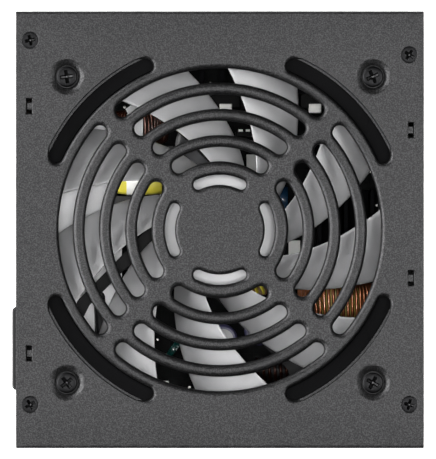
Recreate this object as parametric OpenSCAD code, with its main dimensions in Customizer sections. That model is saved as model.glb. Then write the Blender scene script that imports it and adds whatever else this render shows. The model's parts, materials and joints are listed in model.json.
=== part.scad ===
// Desktop power supply unit: a folded steel case with a stamped fan grille, a 120 mm fan under it,
// a mains inlet and rocker switch on one end, output sockets on the other, and the converter inside.
// +Z points out of the fan face, the mains end is at -X, and the case stands on Z = 0.

/* [Case] */
// Depth of the case from the mains end to the output end
case_depth = 140; // [139:0.5:141]
// Width of the case
case_width = 150; // [149:0.5:152]
// Height of the case
case_height = 86; // [85.5:0.5:88]
// Thickness of the sheet steel
sheet = 1; // [0.8:0.1:1.1]
// Outer radius of the bends in the sheet
bend_r = 1.8; // [1.4:0.1:2.2]
// Depth of the lips that carry the cover, bent in from both end panels
lip_depth = 9; // [8:0.25:9.5]

/* [Grille] */
// Rings of slots in the grille
ring_count = 4; // [2:1:4]
// Inner radius of the innermost ring of slots
first_ring_r = 23.5; // [23:0.25:24]
// Distance from one ring of slots to the next
ring_pitch = 9; // [8.5:0.1:9.1]
// Width of a slot
slot_w = 4.9; // [4:0.1:5.2]
// Steel left between two slots of a ring, where a spoke runs
spoke_w = 6.1; // [5:0.1:8]
// Rounding of the slots' upper edges
edge_round = 0.8; // [0.3:0.1:0.8]
// Inner radius of the four slots round the middle plate
hub_slot_r = 15.4; // [15:0.1:16]
// Width of the slots round the middle plate
hub_slot_w = 3.5; // [3:0.1:3.8]
// Steel left between the slots round the middle plate
hub_spoke_w = 8; // [6:0.5:10]
// Inner radius of the long arc openings in the corners
corner_slot_r = 59.1; // [58.4:0.1:59.4]
// Width of the long arc openings
corner_slot_w = 5.9; // [5.5:0.1:6.4]

/* [Fan] */
// Side of the square fan frame
fan_size = 120; // [119.5:0.1:120]
// Depth of the fan frame
fan_depth = 25; // [25:0.1:25.4]
// Distance between the fan's mounting holes
fan_hole_pitch = 105; // [104.8:0.1:105.2]
// Number of blades
blade_count = 9; // [5:1:9]
// Radius of the blade tips
blade_tip_r = 56.3; // [55:0.1:56.5]
// Radius of the hub
hub_r = 20.5; // [20.3:0.1:20.8]
// Thickness of a blade at its middle
blade_t = 1.6; // [1.2:0.1:2]
// Depth of the pressed dimples that hold the fan off the cover
dimple_depth = 1.6; // [1.4:0.1:1.8]

/* [Ends] */
// Middle of the mains inlet and the switch along the width
inlet_y = -41.3; // [-42:0.1:-40]
// Middle of the mains inlet above the floor
inlet_z = 45; // [44.5:0.1:45.5]
// Middle of the switch above the floor
switch_z = 19.5; // [19:0.1:20.5]
// Width of the inlet's flange
inlet_w = 28.9; // [28.5:0.1:29.5]
// Thickness of the inlet's flange outside the panel
inlet_lip = 2.2; // [1.8:0.1:2.4]
// Tilt of the rocker either way from level
rocker_tilt = 8; // [5:0.5:8]
// Width across the flats of a vent hexagon
vent_hex = 6.2; // [5:0.1:6.4]
// Distance between the vent hexagons
vent_pitch = 7.2; // [7:0.1:7.6]
// Distance between the contacts of an output socket
socket_pitch = 4.2; // [4.1:0.05:4.25]

/* [Board] */
// Height of the board's underside above the floor
board_z = 7; // [6:0.5:7.5]
// Thickness of the boards
board_t = 1.6; // [1.5:0.1:1.6]
// Thickness of the output choke's wire
choke_wire = 1.3; // [1:0.1:1.3]
// Loops on the output choke
choke_loops = 16; // [10:1:16]

/* [Hidden] */
$fn = 96;
fine = 0.01;
past = 1;
snug = 0.1;
half_x = case_depth / 2;
cover_under = case_height - sheet;
base_gap = 0.9;
base_w = case_width - 2 * sheet - 2 * base_gap;
fan_top = cover_under - dimple_depth;
fan_z = fan_top - fan_depth;
deck = board_z + board_t;

// Cover: places of its screws and tabs, read along X and Y
cover_screw_spots = [[-65, 65], [65, 60], [-65, -60], [65, -60]];
tab_spots = [[-65.4, 42.4], [-65.4, -42.4], [65.6, 34.2], [65.6, -16.6]];
tab_slot = [1.9, 5.1];
tab_w = 2.2;
tab_sink = 0.4;
tab_drop = 0.3;
tab_root = 0.2;
tab_room = [3, 6.4, 4];
cover_head_r = 2.75;
cover_shank_r = 1.45;
cover_screw_length = 5;
cover_cross = [3.2, 0.9];
corner_end_r = 2.4;
corner_limit = corner_slot_r - 0.6;
edge_swell = 1.06;
dimple_r = 5.75;
dimple_rim_r = dimple_r + 0.8;
dimple_floor_r = 4.2;
dimple_hole_r = 2.75;
fan_head_r = 3.8;
fan_head_h = 1.5;
fan_head_taper = 0.6;
fan_screw_length = 10;
fan_cross = [4.2, 1.3];

// Base: the side flanges, the bosses under the lips, and the holes in the mains end
side_flange = [case_depth - 8, sheet, 12];
lip_boss = [2.4, 1.6];
lip_hole_r = 1.5;
case_holes = [[-69, 6], [69, 6], [69, 70], [-45, 80]];
case_hole_r = 1.42;
case_boss = [2.5, 1.5];
vent_rows = 10;
vent_cols = 11;
vent_first = [-62, 12];

// Fan: the frame, its struts and what turns in it
duct_r = 57.3;
duct_outer_r = 59.4;
fan_flange_t = 4;
fan_corner_r = 6;
fan_hole_r = 2.15;
strut_angle = 225.6;
strut_offset = 16;
strut_w = 4.1;
strut_h = 4;
strut_start = 12;
strut_flare = 2.6;
duct_flare = [2.8, 4];
lead_notch_x = -41;
lead_notch_y = [-66, -36];
motor_base_r = 20.5;
motor_base_t = 2.2;
tube_r = 4.6;
tube_bore_r = 3.05;
tube_top = fan_z + 17.6;
hub_top = fan_top - 1;
hub_bottom = fan_z + 6;
hub_round = 3;
hub_wall = 1.65;
hub_face_t = 3;
hub_boss_r = 4;
tube_floor = 0.8;
shaft_r = 1.5;
shaft_clearance = 0.05;
shaft_low = fan_z + 1.8;
groove_z = fan_z + 2.4;
groove_h = 0.8;
groove_r = 1;
clip_r = 2.5;
clip_t = 0.6;
bearing_z = fan_z + 3.6;
bearing_h = 13;
yoke_r = hub_r - hub_wall - 0.05;
yoke_t = 0.95;
yoke_h = 12.4;
magnet_r = yoke_r - yoke_t - 0.05;
magnet_t = 1.55;
magnet_h = 11;
stator_z = hub_bottom + 1;
stator_h = 8;
stator_hub_r = 7;
stator_r = 15.6;
stator_shoe_t = 2;
stator_limb_w = 3.2;
coil_size = [10.4, 5.6];
coil_length = 5.2;
coil_mid_r = 10.2;
fan_board_r = 16;
fan_board_t = 1.2;
fan_board_lift = 0.2;
blade_rows = 10;
blade_cols = 10;
blade_ref_r = 24.7;
blade_camber = 1.4;

// Mains end: the bodies that pass through the panel
inlet_body = [26.6, 19.4];
switch_body = [19.2, 12.8];
earth_at = [-58, -63];
earth_hole_r = 1.5;
earth_tag_t = 0.8;

// Mains leads, earth lead and fan lead: hand-chosen points along each route
lead_sides = 8;
lead_d = 3;
notch_w = lead_d + 1;
to_switch = [[-45, -48.3, 43], [-41, -48.3, 43], [-37.5, -48, 38], [-37, -47, 28],
    [-39, -46.3, 21], [-42, -46.3, 19.5], [-46, -46.3, 19.5]];
from_switch = [[-46, -36.3, 19.5], [-42, -36.3, 19.5], [-38, -36, 18.4], [-35, -36, 16], [-34, -36, 13],
    [-34, -36, deck]];
neutral = [[-45, -34.3, 43], [-41, -34.3, 43], [-37, -33, 38], [-34, -31, 28], [-33, -29, 18],
    [-33, -29, deck]];
earth = [[-45, -41.3, 47], [-41, -41.3, 47], [-38, -44, 46], [-37, -52, 43], [-40, -58, 34],
    [-46, -62, 21], [-51, -63, 11], [-52, -63, 6], [-52, -63, sheet + earth_tag_t]];
fan_route = [[-17.2, -0.6, 62.4], [-19.6, -3, 62.4], [-22.6, -6, 62.2], [-25.6, -9.1, 61.2],
    [-27.9, -11.3, 59.2], [-29.3, -12.5, 57], [-30.9, -12.4, 56.1], [-33.6, -12.5, 56], [-36.9, -15.2, 56],
    [-39.9, -18.4, 56], [-41.6, -22.2, 56], [-42.2, -26, 56.8], [-42, -30, 58.6], [-41.2, -36, 60.1],
    [-41, -42, 60.2], [-41, -52, 60.2], [-41, -59, 60.2], [-40.4, -64, 58.6], [-38, -66, 53], [-33, -66, 42],
    [-27, -64, 30], [-23.4, -60, 23], [-22.2, -57, 19.6], [-22, -56, 17], [-22, -56, deck + 3]];

// Board outline, its fixings and the tallest pieces on it
board_outline = [[-44, -68], [56, -68], [56, 68], [-64, 68], [-64, -26], [-44, -26]];
standoff_spots = [[-40, -64], [50, -64], [50, 64], [-58, 64], [-58, -20], [8, 0]];
standoff_r = 3;
board_head_r = 2.8;
board_head_h = 1.8;
board_shank_r = 1.45;
board_screw_length = 5;
board_cross = [3.2, 1];
film_t = 0.3;
bulk_at = [-5, 29.3];
bulk_r = 10.5;
bulk_h = 44;
choke_at = [41.5, -25.5];
choke_core = [7.2, 12.6, 10];
boost_at = [-28.5, 36];
boost_core = [5, 9, 8];
boost_wire = 1.2;
boost_loops = 8;
boost_open = 60;
choke_open = 50;
core_chamfer = 1.1;
loop_rings = 24;
wire_sides = 6;
winding_lift = 2.2;
winding_room = 0.3;
coil_at = [19, -49.6];
coil_wire = 1.2;
coil_loops = 6;
coil_core_r = 3;
coil_core_length = 16;
coil_step = coil_wire + 0.8;
output_cans = [[1.1, -38.4], [13.6, -35.6], [1.8, -49.6], [33, -46], [44.5, -46], [44.5, -58]];
can_r = 5;
can_h = 24;
socket_back = 11;
socket_cell = 3.5;
socket_rim = [1.2, 1.6];
socket_gap = 0.3;
function socket_size(cols) = socket_pitch * [cols, 2] + socket_rim;
output_board_x = half_x - socket_back - board_t;
wide_sockets = [[-34, 46, 9], [8, 46, 5]];
small_sockets = [[48, 46, 4], [-52, 30, 4], [-26, 30, 4], [0, 30, 4], [26, 30, 4], [52, 30, 4],
    [-48, 14, 3], [-24, 14, 3], [0, 14, 3], [24, 14, 3], [48, 14, 3]];

// Frames for the two end panels: z points out of the panel and y up
module on_mains_end(y, z) {
    translate([-half_x, y, z]) rotate([90, 0, -90]) children();
}
module on_output_end(y, z) {
    translate([half_x, y, z]) rotate([90, 0, 90]) children();
}

// A hole through one thickness of sheet, cut down from its outer face
module panel_cut() {
    translate([0, 0, -sheet - past]) linear_extrude(sheet + 2 * past) children();
}

// Plain shapes that many pieces share
module rounded_plate(size, r) {
    square([size[0] - 2 * r, size[1]], center = true);
    square([size[0], size[1] - 2 * r], center = true);
    for (x = [-1, 1], y = [-1, 1]) translate([x * (size[0] / 2 - r), y * (size[1] / 2 - r)]) circle(r);
}
module ring(outer, inner, h) {
    difference() {
        cylinder(r = outer, h = h);
        translate([0, 0, -past]) cylinder(r = inner, h = h + 2 * past);
    }
}
module block_on_board(at, size) {
    translate([at[0] - size[0] / 2, at[1] - size[1] / 2, deck]) cube(size);
}
module cross_recess(cross) {
    width = cross[0];
    depth = cross[1];
    for (a = [0, 90]) rotate(a) translate([0, 0, -depth / 2]) cube([width, width / 4, depth], center = true);
}
module pan_screw(head_r, head_h, shank_r, length) {
    difference() {
        union() {
            cylinder(r = head_r, h = head_h);
            translate([0, 0, -length]) cylinder(r = shank_r, h = length + fine);
        }
        translate([0, 0, head_h + fine]) cross_recess(board_cross);
    }
}

// A tube swept along points: rings carried along without twist, closed with flat ends
function unit(v) = v / norm(v);
function tangent(p, i) = unit(
    (i < len(p) - 1 ? unit(p[i + 1] - p[i]) : [0, 0, 0]) + (i > 0 ? unit(p[i] - p[i - 1]) : [0, 0, 0]));
function square_to(u, t) = unit(u - (u * t) * t);
function first_side(t) = square_to(abs(t[2]) < 0.9 ? [0, 0, 1] : [0, 1, 0], t);
function sides(p) = [for (i = 0, u = first_side(tangent(p, 0)); i < len(p);
    i = i + 1, u = i < len(p) ? square_to(u, tangent(p, i)) : u) u];
module tube(p, r, n) {
    u = sides(p);
    points = [for (i = [0:len(p) - 1], k = [0:n - 1])
        p[i] + r * (cos(360 * k / n) * u[i] + sin(360 * k / n) * cross(tangent(p, i), u[i]))];
    last = (len(p) - 1) * n;
    walls = [for (i = [0:len(p) - 2], k = [0:n - 1]) let (a = i * n + k, b = i * n + (k + 1) % n)
        each [[a, a + n, b + n], [a, b + n, b]]];
    ends = [for (k = [1:n - 2]) each [[0, k, k + 1], [last, last + k + 1, last + k]]];
    polyhedron(points = points, faces = concat(walls, ends));
}
// Least gap between turns of a path that are more than a third of a loop apart
function least_gap(p, wire, apart) =
    min([for (i = [0:len(p) - 1 - apart], k = [i + apart:len(p) - 1]) norm(p[i] - p[k])]) - wire;

// Folded case
module round_top(w, h, r) {
    translate([-w / 2, 0]) square([w, h - r]);
    translate([-w / 2 + r, 0]) square([w - 2 * r, h]);
    for (s = [-1, 1]) translate([s * (w / 2 - r), h - r]) circle(r);
}
// Half of a slot's section: its upper edge is rounded by an arc that crosses both faces of the sheet's corner
module slot_half(w) {
    mid = [w / 2 + edge_round, sheet - edge_round];
    translate([0, -past]) square([w / 2, sheet + 2 * past]);
    difference() {
        translate([0, mid[1]]) square([mid[0], edge_round + past]);
        translate(mid) circle(edge_round * edge_swell);
    }
}
module arc_slot(r, w, steel) {
    half_angle = 45 - asin((steel + w) / 2 / r);
    rotate(-half_angle) rotate_extrude(angle = 2 * half_angle) translate([r, 0]) {
        slot_half(w);
        mirror([1, 0]) slot_half(w);
    }
    for (s = [0, 1]) rotate(half_angle * (1 - 2 * s)) translate([r, 0, 0]) rotate(180 * s)
        rotate_extrude(angle = 180) slot_half(w);
}
module corner_slot() {
    limit = corner_limit;
    end_y = limit - corner_end_r;
    end_x = sqrt((corner_slot_r + corner_end_r) ^ 2 - end_y ^ 2);
    inner = [end_x, end_y] * corner_slot_r / (corner_slot_r + corner_end_r);
    intersection() {
        difference() {
            circle(corner_slot_r + corner_slot_w);
            circle(corner_slot_r);
        }
        polygon([inner, [end_x, limit], [limit, limit], [limit, end_x], [inner[1], inner[0]]]);
    }
    translate([end_x, end_y]) circle(corner_end_r);
    translate([end_y, end_x]) circle(corner_end_r);
}
module grille_cut() {
    for (q = [0:90:270]) rotate(q) {
        for (i = [0:ring_count - 1]) arc_slot(first_ring_r + slot_w / 2 + i * ring_pitch, slot_w, spoke_w);
        arc_slot(hub_slot_r + hub_slot_w / 2, hub_slot_w, hub_spoke_w);
        translate([0, 0, -past]) linear_extrude(sheet + 2 * past) corner_slot();
    }
}
module at_fan_holes() {
    for (x = [-1, 1], y = [-1, 1]) translate([x * fan_hole_pitch / 2, y * fan_hole_pitch / 2]) children();
}
module dimple() {
    shoulder = 0.4;
    shoulder_drop = 0.12;
    rotate_extrude() polygon([[dimple_hole_r, -dimple_depth], [dimple_floor_r + shoulder, -dimple_depth],
        [dimple_r - shoulder, -3 * shoulder_drop], [dimple_rim_r - shoulder / 2, 0], [dimple_rim_r, 0],
        [dimple_rim_r, sheet], [dimple_r, sheet], [dimple_r - shoulder, sheet - shoulder_drop],
        [dimple_floor_r, sheet - dimple_depth], [dimple_hole_r, sheet - dimple_depth]]);
}
module tab(spot) {
    inner = spot[0] < 0 ? 1 : -1;
    edge = inner * tab_slot[0] / 2;
    root = edge + inner * tab_root;
    tip = -edge / 2;
    translate([spot[0], spot[1], 0]) rotate([90, 0, 0]) linear_extrude(tab_w, center = true)
        polygon([[root, 0], [root, sheet - tab_sink], [edge, sheet - tab_sink],
            [tip, sheet - tab_sink - tab_drop], [tip, -tab_sink - tab_drop], [edge, -tab_drop]]);
}
module cover_shell() color([0.2, 0.2, 0.21]) {
    difference() {
        rotate([90, 0, 90]) linear_extrude(case_depth, center = true) difference() {
            round_top(case_width, case_height, bend_r);
            translate([0, -past]) round_top(case_width - 2 * sheet, cover_under + past, bend_r - sheet);
        }
        translate([0, 0, cover_under]) {
            grille_cut();
            at_fan_holes() translate([0, 0, -past]) cylinder(r = dimple_rim_r, h = sheet + 2 * past);
            for (s = cover_screw_spots) translate(s)
                cylinder(r1 = cover_shank_r + 4 * snug, r2 = cover_head_r + snug, h = sheet + fine);
            for (s = tab_spots) translate(s) cube([tab_slot[0], tab_slot[1], 4 * sheet], center = true);
        }
    }
    translate([0, 0, cover_under]) {
        at_fan_holes() dimple();
        for (s = tab_spots) tab(s);
    }
}
module base_profile() {
    h = cover_under;
    difference() {
        translate([0, h / 2]) rounded_plate([case_depth, h], bend_r);
        translate([0, h / 2]) rounded_plate([case_depth - 2 * sheet, h - 2 * sheet], bend_r - sheet);
        translate([-half_x + lip_depth, h / 2]) square([case_depth - 2 * lip_depth, h]);
    }
}
module vent_holes() {
    for (row = [0:vent_rows - 1], col = [0:vent_cols - 1])
        translate(vent_first + vent_pitch * [col + (row % 2) / 2, row * sin(60)])
            rotate(90) circle(r = vent_hex / sqrt(3), $fn = 6);
}
module socket_windows() {
    for (s = concat(wide_sockets, small_sockets)) translate([s[0], s[1]])
        square(socket_size(s[2]) + 2 * [socket_gap, socket_gap], center = true);
}
module base_shell() color([0.2, 0.2, 0.21]) {
    difference() {
        union() {
            rotate([90, 0, 0]) linear_extrude(base_w, center = true) base_profile();
            for (s = [-1, 1]) translate([0, s * (base_w - sheet) / 2, side_flange[2] / 2])
                cube(side_flange, center = true);
            for (h = case_holes) on_mains_end(h[0], h[1])
                translate([0, 0, -sheet - case_boss[1]]) cylinder(r = case_boss[0], h = case_boss[1] + fine);
            for (s = cover_screw_spots) translate([s[0], s[1], cover_under - sheet - lip_boss[1]])
                cylinder(r = lip_boss[0], h = lip_boss[1] + fine);
        }
        for (h = case_holes) on_mains_end(h[0], h[1])
            translate([0, 0, -sheet - case_boss[1] - past])
                cylinder(r = case_hole_r, h = 2 * past + sheet + case_boss[1]);
        for (s = cover_screw_spots) translate([s[0], s[1], cover_under - sheet - lip_boss[1] - past])
            cylinder(r = lip_hole_r, h = sheet + lip_boss[1] + 2 * past);
        for (s = tab_spots) translate([s[0], s[1], cover_under]) cube(tab_room, center = true);
        on_mains_end(0, 0) panel_cut() vent_holes();
        on_mains_end(inlet_y, inlet_z) panel_cut() square(inlet_body + 4 * [snug, snug], center = true);
        on_mains_end(inlet_y, switch_z) panel_cut() square(switch_body + 4 * [snug, snug], center = true);
        on_output_end(0, 0) panel_cut() socket_windows();
        translate([earth_at[0], earth_at[1], sheet]) panel_cut() circle(earth_hole_r);
    }
}
module cover_screws() color([0.05, 0.05, 0.06])
    for (s = cover_screw_spots) translate([s[0], s[1], case_height]) difference() {
        union() {
            translate([0, 0, -sheet]) cylinder(r1 = cover_shank_r + 3 * snug, r2 = cover_head_r, h = sheet);
            translate([0, 0, -cover_screw_length])
                cylinder(r = cover_shank_r, h = cover_screw_length - sheet / 2);
        }
        translate([0, 0, fine]) cross_recess(cover_cross);
    }
module insulating_sheet() color([0.1, 0.1, 0.1])
    translate([0, 0, sheet]) linear_extrude(film_t) difference() {
        polygon(board_outline);
        for (s = standoff_spots) translate(s) circle(standoff_r + 4 * snug);
    }

// Fan
module strut() {
    near = strut_offset - strut_w / 2;
    far = strut_offset + strut_w / 2;
    near_end = sqrt(pow(duct_outer_r, 2) - pow(near - strut_flare, 2));
    far_end = sqrt(pow(duct_outer_r, 2) - pow(far + strut_flare, 2));
    knee = far_end - 2 * strut_flare;
    rotate(strut_angle)
        polygon([[strut_start, -near], [knee, -near], [near_end, strut_flare - near],
            [far_end, -strut_flare - far], [knee, -far], [strut_start, -far]]);
}
module fan_frame() color([0.04, 0.04, 0.045])
    difference() {
        union() {
            for (z = [fan_z, fan_top - fan_flange_t]) translate([0, 0, z]) linear_extrude(fan_flange_t)
                rounded_plate([fan_size, fan_size], fan_corner_r);
            translate([0, 0, fan_z]) cylinder(r = duct_outer_r, h = fan_depth);
        }
        translate([0, 0, fan_z - past]) cylinder(r = duct_r, h = fan_depth + 2 * past);
        translate([0, 0, fan_top + past - duct_flare[1]])
            cylinder(r1 = duct_r, r2 = duct_r + duct_flare[0], h = duct_flare[1]);
        at_fan_holes() translate([0, 0, fan_z - past]) cylinder(r = fan_hole_r, h = fan_depth + 2 * past);
        translate([lead_notch_x - notch_w / 2, lead_notch_y[0], fan_z - past])
            cube([notch_w, lead_notch_y[1] - lead_notch_y[0], fan_flange_t + past]);
    }
module fan_struts() color([0.04, 0.04, 0.045]) {
    translate([0, 0, fan_z]) linear_extrude(strut_h) intersection() {
        union() for (q = [0:90:270]) rotate(q) strut();
        circle(duct_r);
    }
    difference() {
        translate([0, 0, fan_z]) {
            cylinder(r = motor_base_r, h = motor_base_t);
            cylinder(r = tube_r, h = tube_top - fan_z);
        }
        translate([0, 0, fan_z + tube_floor]) cylinder(r = tube_bore_r, h = fan_depth);
    }
}
// A blade's edges swing round with the logarithm of the radius: an angle at the reference radius and a rate
blade_lead = [20.4, 34];
blade_trail = [-8.5, 37.5];
// Heights of the edges above the fan's back: at the hub, and how far they move by the tip
blade_low = [8.6, 2.6];
blade_high = [22, -0.8];
function edge_angle(edge, r) = edge[0] + edge[1] * ln(r / blade_ref_r);
function span(r) = (r - hub_r) / (blade_tip_r - hub_r);
function edge_z(edge, r) = fan_z + edge[0] + edge[1] * span(r);
function blade_z(r, u) = let (low = edge_z(blade_low, r), high = edge_z(blade_high, r))
    low + (high - low) * u + 4 * blade_camber * u * (1 - u);
function blade_half(u) = blade_t * (0.3 + 0.8 * u * (1 - u));
function blade_point(r, u, side) =
    let (a = edge_angle(blade_trail, r) * (1 - u) + edge_angle(blade_lead, r) * u)
    [r * cos(a), r * sin(a), blade_z(r, u) + side * blade_half(u)];
module blade() {
    rows = blade_rows;
    cols = blade_cols;
    root = hub_r - hub_wall / 2;
    points = [for (side = [1, -1], i = [0:rows], j = [0:cols])
        blade_point(root + (blade_tip_r - root) * i / rows, j / cols, side)];
    up = function (i, j) i * (cols + 1) + j;
    low = function (i, j) (rows + 1) * (cols + 1) + up(i, j);
    skins = [for (i = [0:rows - 1], j = [0:cols - 1])
        each [[up(i, j), up(i, j + 1), up(i + 1, j + 1)], [up(i, j), up(i + 1, j + 1), up(i + 1, j)],
            [low(i, j), low(i + 1, j + 1), low(i, j + 1)], [low(i, j), low(i + 1, j), low(i + 1, j + 1)]]];
    edges = [for (i = [0:rows - 1])
        each [[up(i, 0), up(i + 1, 0), low(i + 1, 0)], [up(i, 0), low(i + 1, 0), low(i, 0)],
            [up(i + 1, cols), up(i, cols), low(i, cols)], [up(i + 1, cols), low(i, cols), low(i + 1, cols)]]];
    tips = [for (j = [0:cols - 1])
        each [[up(0, j + 1), up(0, j), low(0, j)], [up(0, j + 1), low(0, j), low(0, j + 1)],
            [up(rows, j), up(rows, j + 1), low(rows, j + 1)], [up(rows, j), low(rows, j + 1), low(rows, j)]]];
    polyhedron(points = points, faces = concat(skins, edges, tips));
}
module fan_rotor() color([0.75, 0.76, 0.77]) {
    h = hub_top - hub_bottom;
    boss_z = tube_top + hub_wall / 2;
    face_z = hub_top - hub_face_t;
    translate([0, 0, hub_bottom]) difference() {
        rotate_extrude() {
            square([hub_r - hub_round, h]);
            square([hub_r, h - hub_round]);
            translate([hub_r - hub_round, h - hub_round]) circle(hub_round);
        }
        translate([0, 0, -past]) cylinder(r = hub_r - hub_wall, h = h - hub_face_t + past);
    }
    translate([0, 0, boss_z]) ring(hub_boss_r, shaft_r + fine / 2, face_z - boss_z + fine);
    for (k = [0:blade_count - 1]) rotate(k * 360 / blade_count) blade();
}
module fan_yoke() color([0.55, 0.55, 0.56])
    translate([0, 0, hub_bottom + 4 * snug]) ring(yoke_r, yoke_r - yoke_t, yoke_h);
module fan_magnet() color([0.12, 0.12, 0.13])
    translate([0, 0, hub_bottom + 6 * snug]) ring(magnet_r, magnet_r - magnet_t, magnet_h);
module fan_shaft() color([0.8, 0.8, 0.82]) difference() {
    translate([0, 0, shaft_low]) cylinder(r = shaft_r, h = hub_top - hub_face_t - shaft_low);
    translate([0, 0, groove_z]) ring(2 * shaft_r, groove_r, groove_h);
}
module fan_clip() color([0.9, 0.9, 0.85])
    translate([0, 0, groove_z + (groove_h - clip_t) / 2]) ring(clip_r, groove_r + 2 * fine, clip_t);
module fan_bearing() color([0.7, 0.55, 0.3])
    translate([0, 0, bearing_z]) ring(tube_bore_r - 2 * fine, shaft_r + shaft_clearance, bearing_h);
module stator_limb() {
    translate([0, -stator_limb_w / 2]) square([stator_r - stator_shoe_t / 2, stator_limb_w]);
    intersection() {
        difference() {
            circle(stator_r);
            circle(stator_r - stator_shoe_t);
        }
        polygon([[0, 0], [2 * stator_r, -1.4 * stator_r], [2 * stator_r, 1.4 * stator_r]]);
    }
}
module fan_stator() color([0.5, 0.5, 0.52])
    translate([0, 0, stator_z]) linear_extrude(stator_h) difference() {
        union() {
            circle(stator_hub_r);
            for (q = [0:90:270]) rotate(q) stator_limb();
        }
        circle(tube_r + 2 * fine);
    }
module fan_coils() color([0.72, 0.4, 0.2])
    for (q = [0:90:270]) rotate(q) translate([coil_mid_r, 0, stator_z + stator_h / 2]) rotate([0, 90, 0])
        difference() {
            linear_extrude(coil_length, center = true) rounded_plate(coil_size, coil_size[1] / 4);
            cube([stator_h + 2 * snug, stator_limb_w + snug, 2 * coil_length], center = true);
        }
module fan_board() color([0.1, 0.3, 0.16])
    translate([0, 0, fan_z + motor_base_t + fan_board_lift]) ring(fan_board_r, tube_r + snug, fan_board_t);
module fan_screws() color([0.05, 0.05, 0.06]) at_fan_holes() translate([0, 0, fan_top + sheet]) difference() {
    union() {
        cylinder(r = fan_head_r, h = fan_head_h - fan_head_taper);
        translate([0, 0, fan_head_h - fan_head_taper])
            cylinder(r1 = fan_head_r, r2 = fan_head_r - fan_head_taper, h = fan_head_taper);
        translate([0, 0, -fan_screw_length]) cylinder(r = fan_hole_r - snug / 2, h = fan_screw_length + fine);
    }
    translate([0, 0, fan_head_h + fine]) cross_recess(fan_cross);
}
module fan_lead() color([0.03, 0.03, 0.03]) tube(fan_route, lead_d / 2, lead_sides);
// Clear sheet that closes the mains side of the fan's outlet, notched round the transformer
baffle_t = 0.5;
baffle_z = fan_z - baffle_t - 4 * snug;
rivet_r = 2;
rivet_head = [3.6, 1.2];
rivet_grip = 6;
baffle_outline = [[-59, -59], [-34, -59], [-34, -5], [-37, -2], [-37, 20], [-26.7, 28], [-26.7, 42.6],
    [-31, 43.1], [-32.7, 41.9], [-32, 40.2], [-32.8, 39], [-36.4, 39], [-36.4, 59], [-59, 59]];
lead_rise = [[-41.8, -23.4], [-41.4, -35]];
module air_baffle() color([0.75, 0.76, 0.77, 0.8])
    translate([0, 0, baffle_z]) linear_extrude(baffle_t) difference() {
        polygon(baffle_outline);
        at_fan_holes() circle(rivet_r + 2 * snug);
        translate([lead_notch_x - notch_w / 2 - 2 * snug, -fan_size / 2]) square([notch_w + 4 * snug, 12]);
        hull() for (p = lead_rise) translate(p) circle(d = notch_w);
    }
module baffle_rivets() color([0.9, 0.9, 0.9]) for (s = [-1, 1])
    translate([-fan_hole_pitch / 2, s * fan_hole_pitch / 2, baffle_z - rivet_head[1]]) {
        cylinder(r = rivet_head[0], h = rivet_head[1]);
        cylinder(r = rivet_r, h = rivet_grip);
    }

// Mains end
module inlet_shape(size, cut) {
    w = size[0] / 2;
    h = size[1] / 2;
    polygon([[-w, -h], [w, -h], [w, h - cut], [w - cut, h], [-w + cut, h], [-w, h - cut]]);
}
inlet_flange = [inlet_w, 22];
inlet_bevel = 0.8;
inlet_corner_r = 2.4;
inlet_cut = [3, 4];
inlet_mouth = [24.2, 16.8];
inlet_depth = 16;
inlet_floor_t = 2;
inlet_back = inlet_depth + inlet_floor_t;
inlet_pin_spots = [[-7, -2], [7, -2], [0, 2]];
pin_size = [2, 4, 14.8];
pin_tip = 3.6;
tag_size = [0.8, 4.8, 6.6];
module mains_inlet() color([0.04, 0.04, 0.045]) on_mains_end(inlet_y, inlet_z) difference() {
    union() {
        hull() {
            linear_extrude(inlet_lip - inlet_bevel) rounded_plate(inlet_flange, inlet_corner_r);
            linear_extrude(inlet_lip)
                rounded_plate(inlet_flange - 2 * [inlet_bevel, inlet_bevel], inlet_corner_r - inlet_bevel);
        }
        translate([0, 0, -inlet_back]) linear_extrude(inlet_back + fine)
            inlet_shape(inlet_body, inlet_cut[0]);
    }
    translate([0, 0, -inlet_depth]) linear_extrude(inlet_depth + inlet_lip + past)
        inlet_shape(inlet_mouth, inlet_cut[1]);
    for (p = inlet_pin_spots) translate([p[0], p[1], -inlet_back])
        cube([pin_size[0] + snug, pin_size[1] + snug, 4 * inlet_floor_t], center = true);
}
module inlet_pins() color([0.8, 0.78, 0.7]) on_mains_end(inlet_y, inlet_z)
    for (p = inlet_pin_spots) translate([p[0], p[1], -pin_tip - pin_size[2]]) {
        translate([0, 0, pin_size[2] / 2]) cube(pin_size, center = true);
        translate([0, 0, -tag_size[2] / 2]) cube(tag_size, center = true);
    }
switch_flange = [21.6, 15, 1];
switch_flange_r = 1.4;
switch_depth = 17;
switch_well = [17.4, 11, 11.5];
switch_contact = 5;
switch_tag = [0.8, 4.8, 7];
rocker_pivot = -4;
rocker_half = 7.6;
rocker_rise = 4.6;
rocker_w = 10.3;
rocker_foot = [3, 2.6];
rocker_skirt = 2;
axle_r = 1.2;
axle_length = 11.8;
module switch_housing() color([0.04, 0.04, 0.045]) on_mains_end(inlet_y, switch_z) difference() {
    union() {
        linear_extrude(switch_flange[2]) rounded_plate([switch_flange[0], switch_flange[1]], switch_flange_r);
        translate([0, 0, -switch_depth]) linear_extrude(switch_depth + fine)
            square(switch_body, center = true);
    }
    translate([0, 0, -switch_well[2] / 2 + past])
        cube([switch_well[0], switch_well[1], switch_well[2] + 2 * past], center = true);
    translate([0, 0, rocker_pivot]) rotate([90, 0, 0])
        cylinder(r = axle_r + snug / 2, h = axle_length + 2 * snug, center = true);
}
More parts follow.
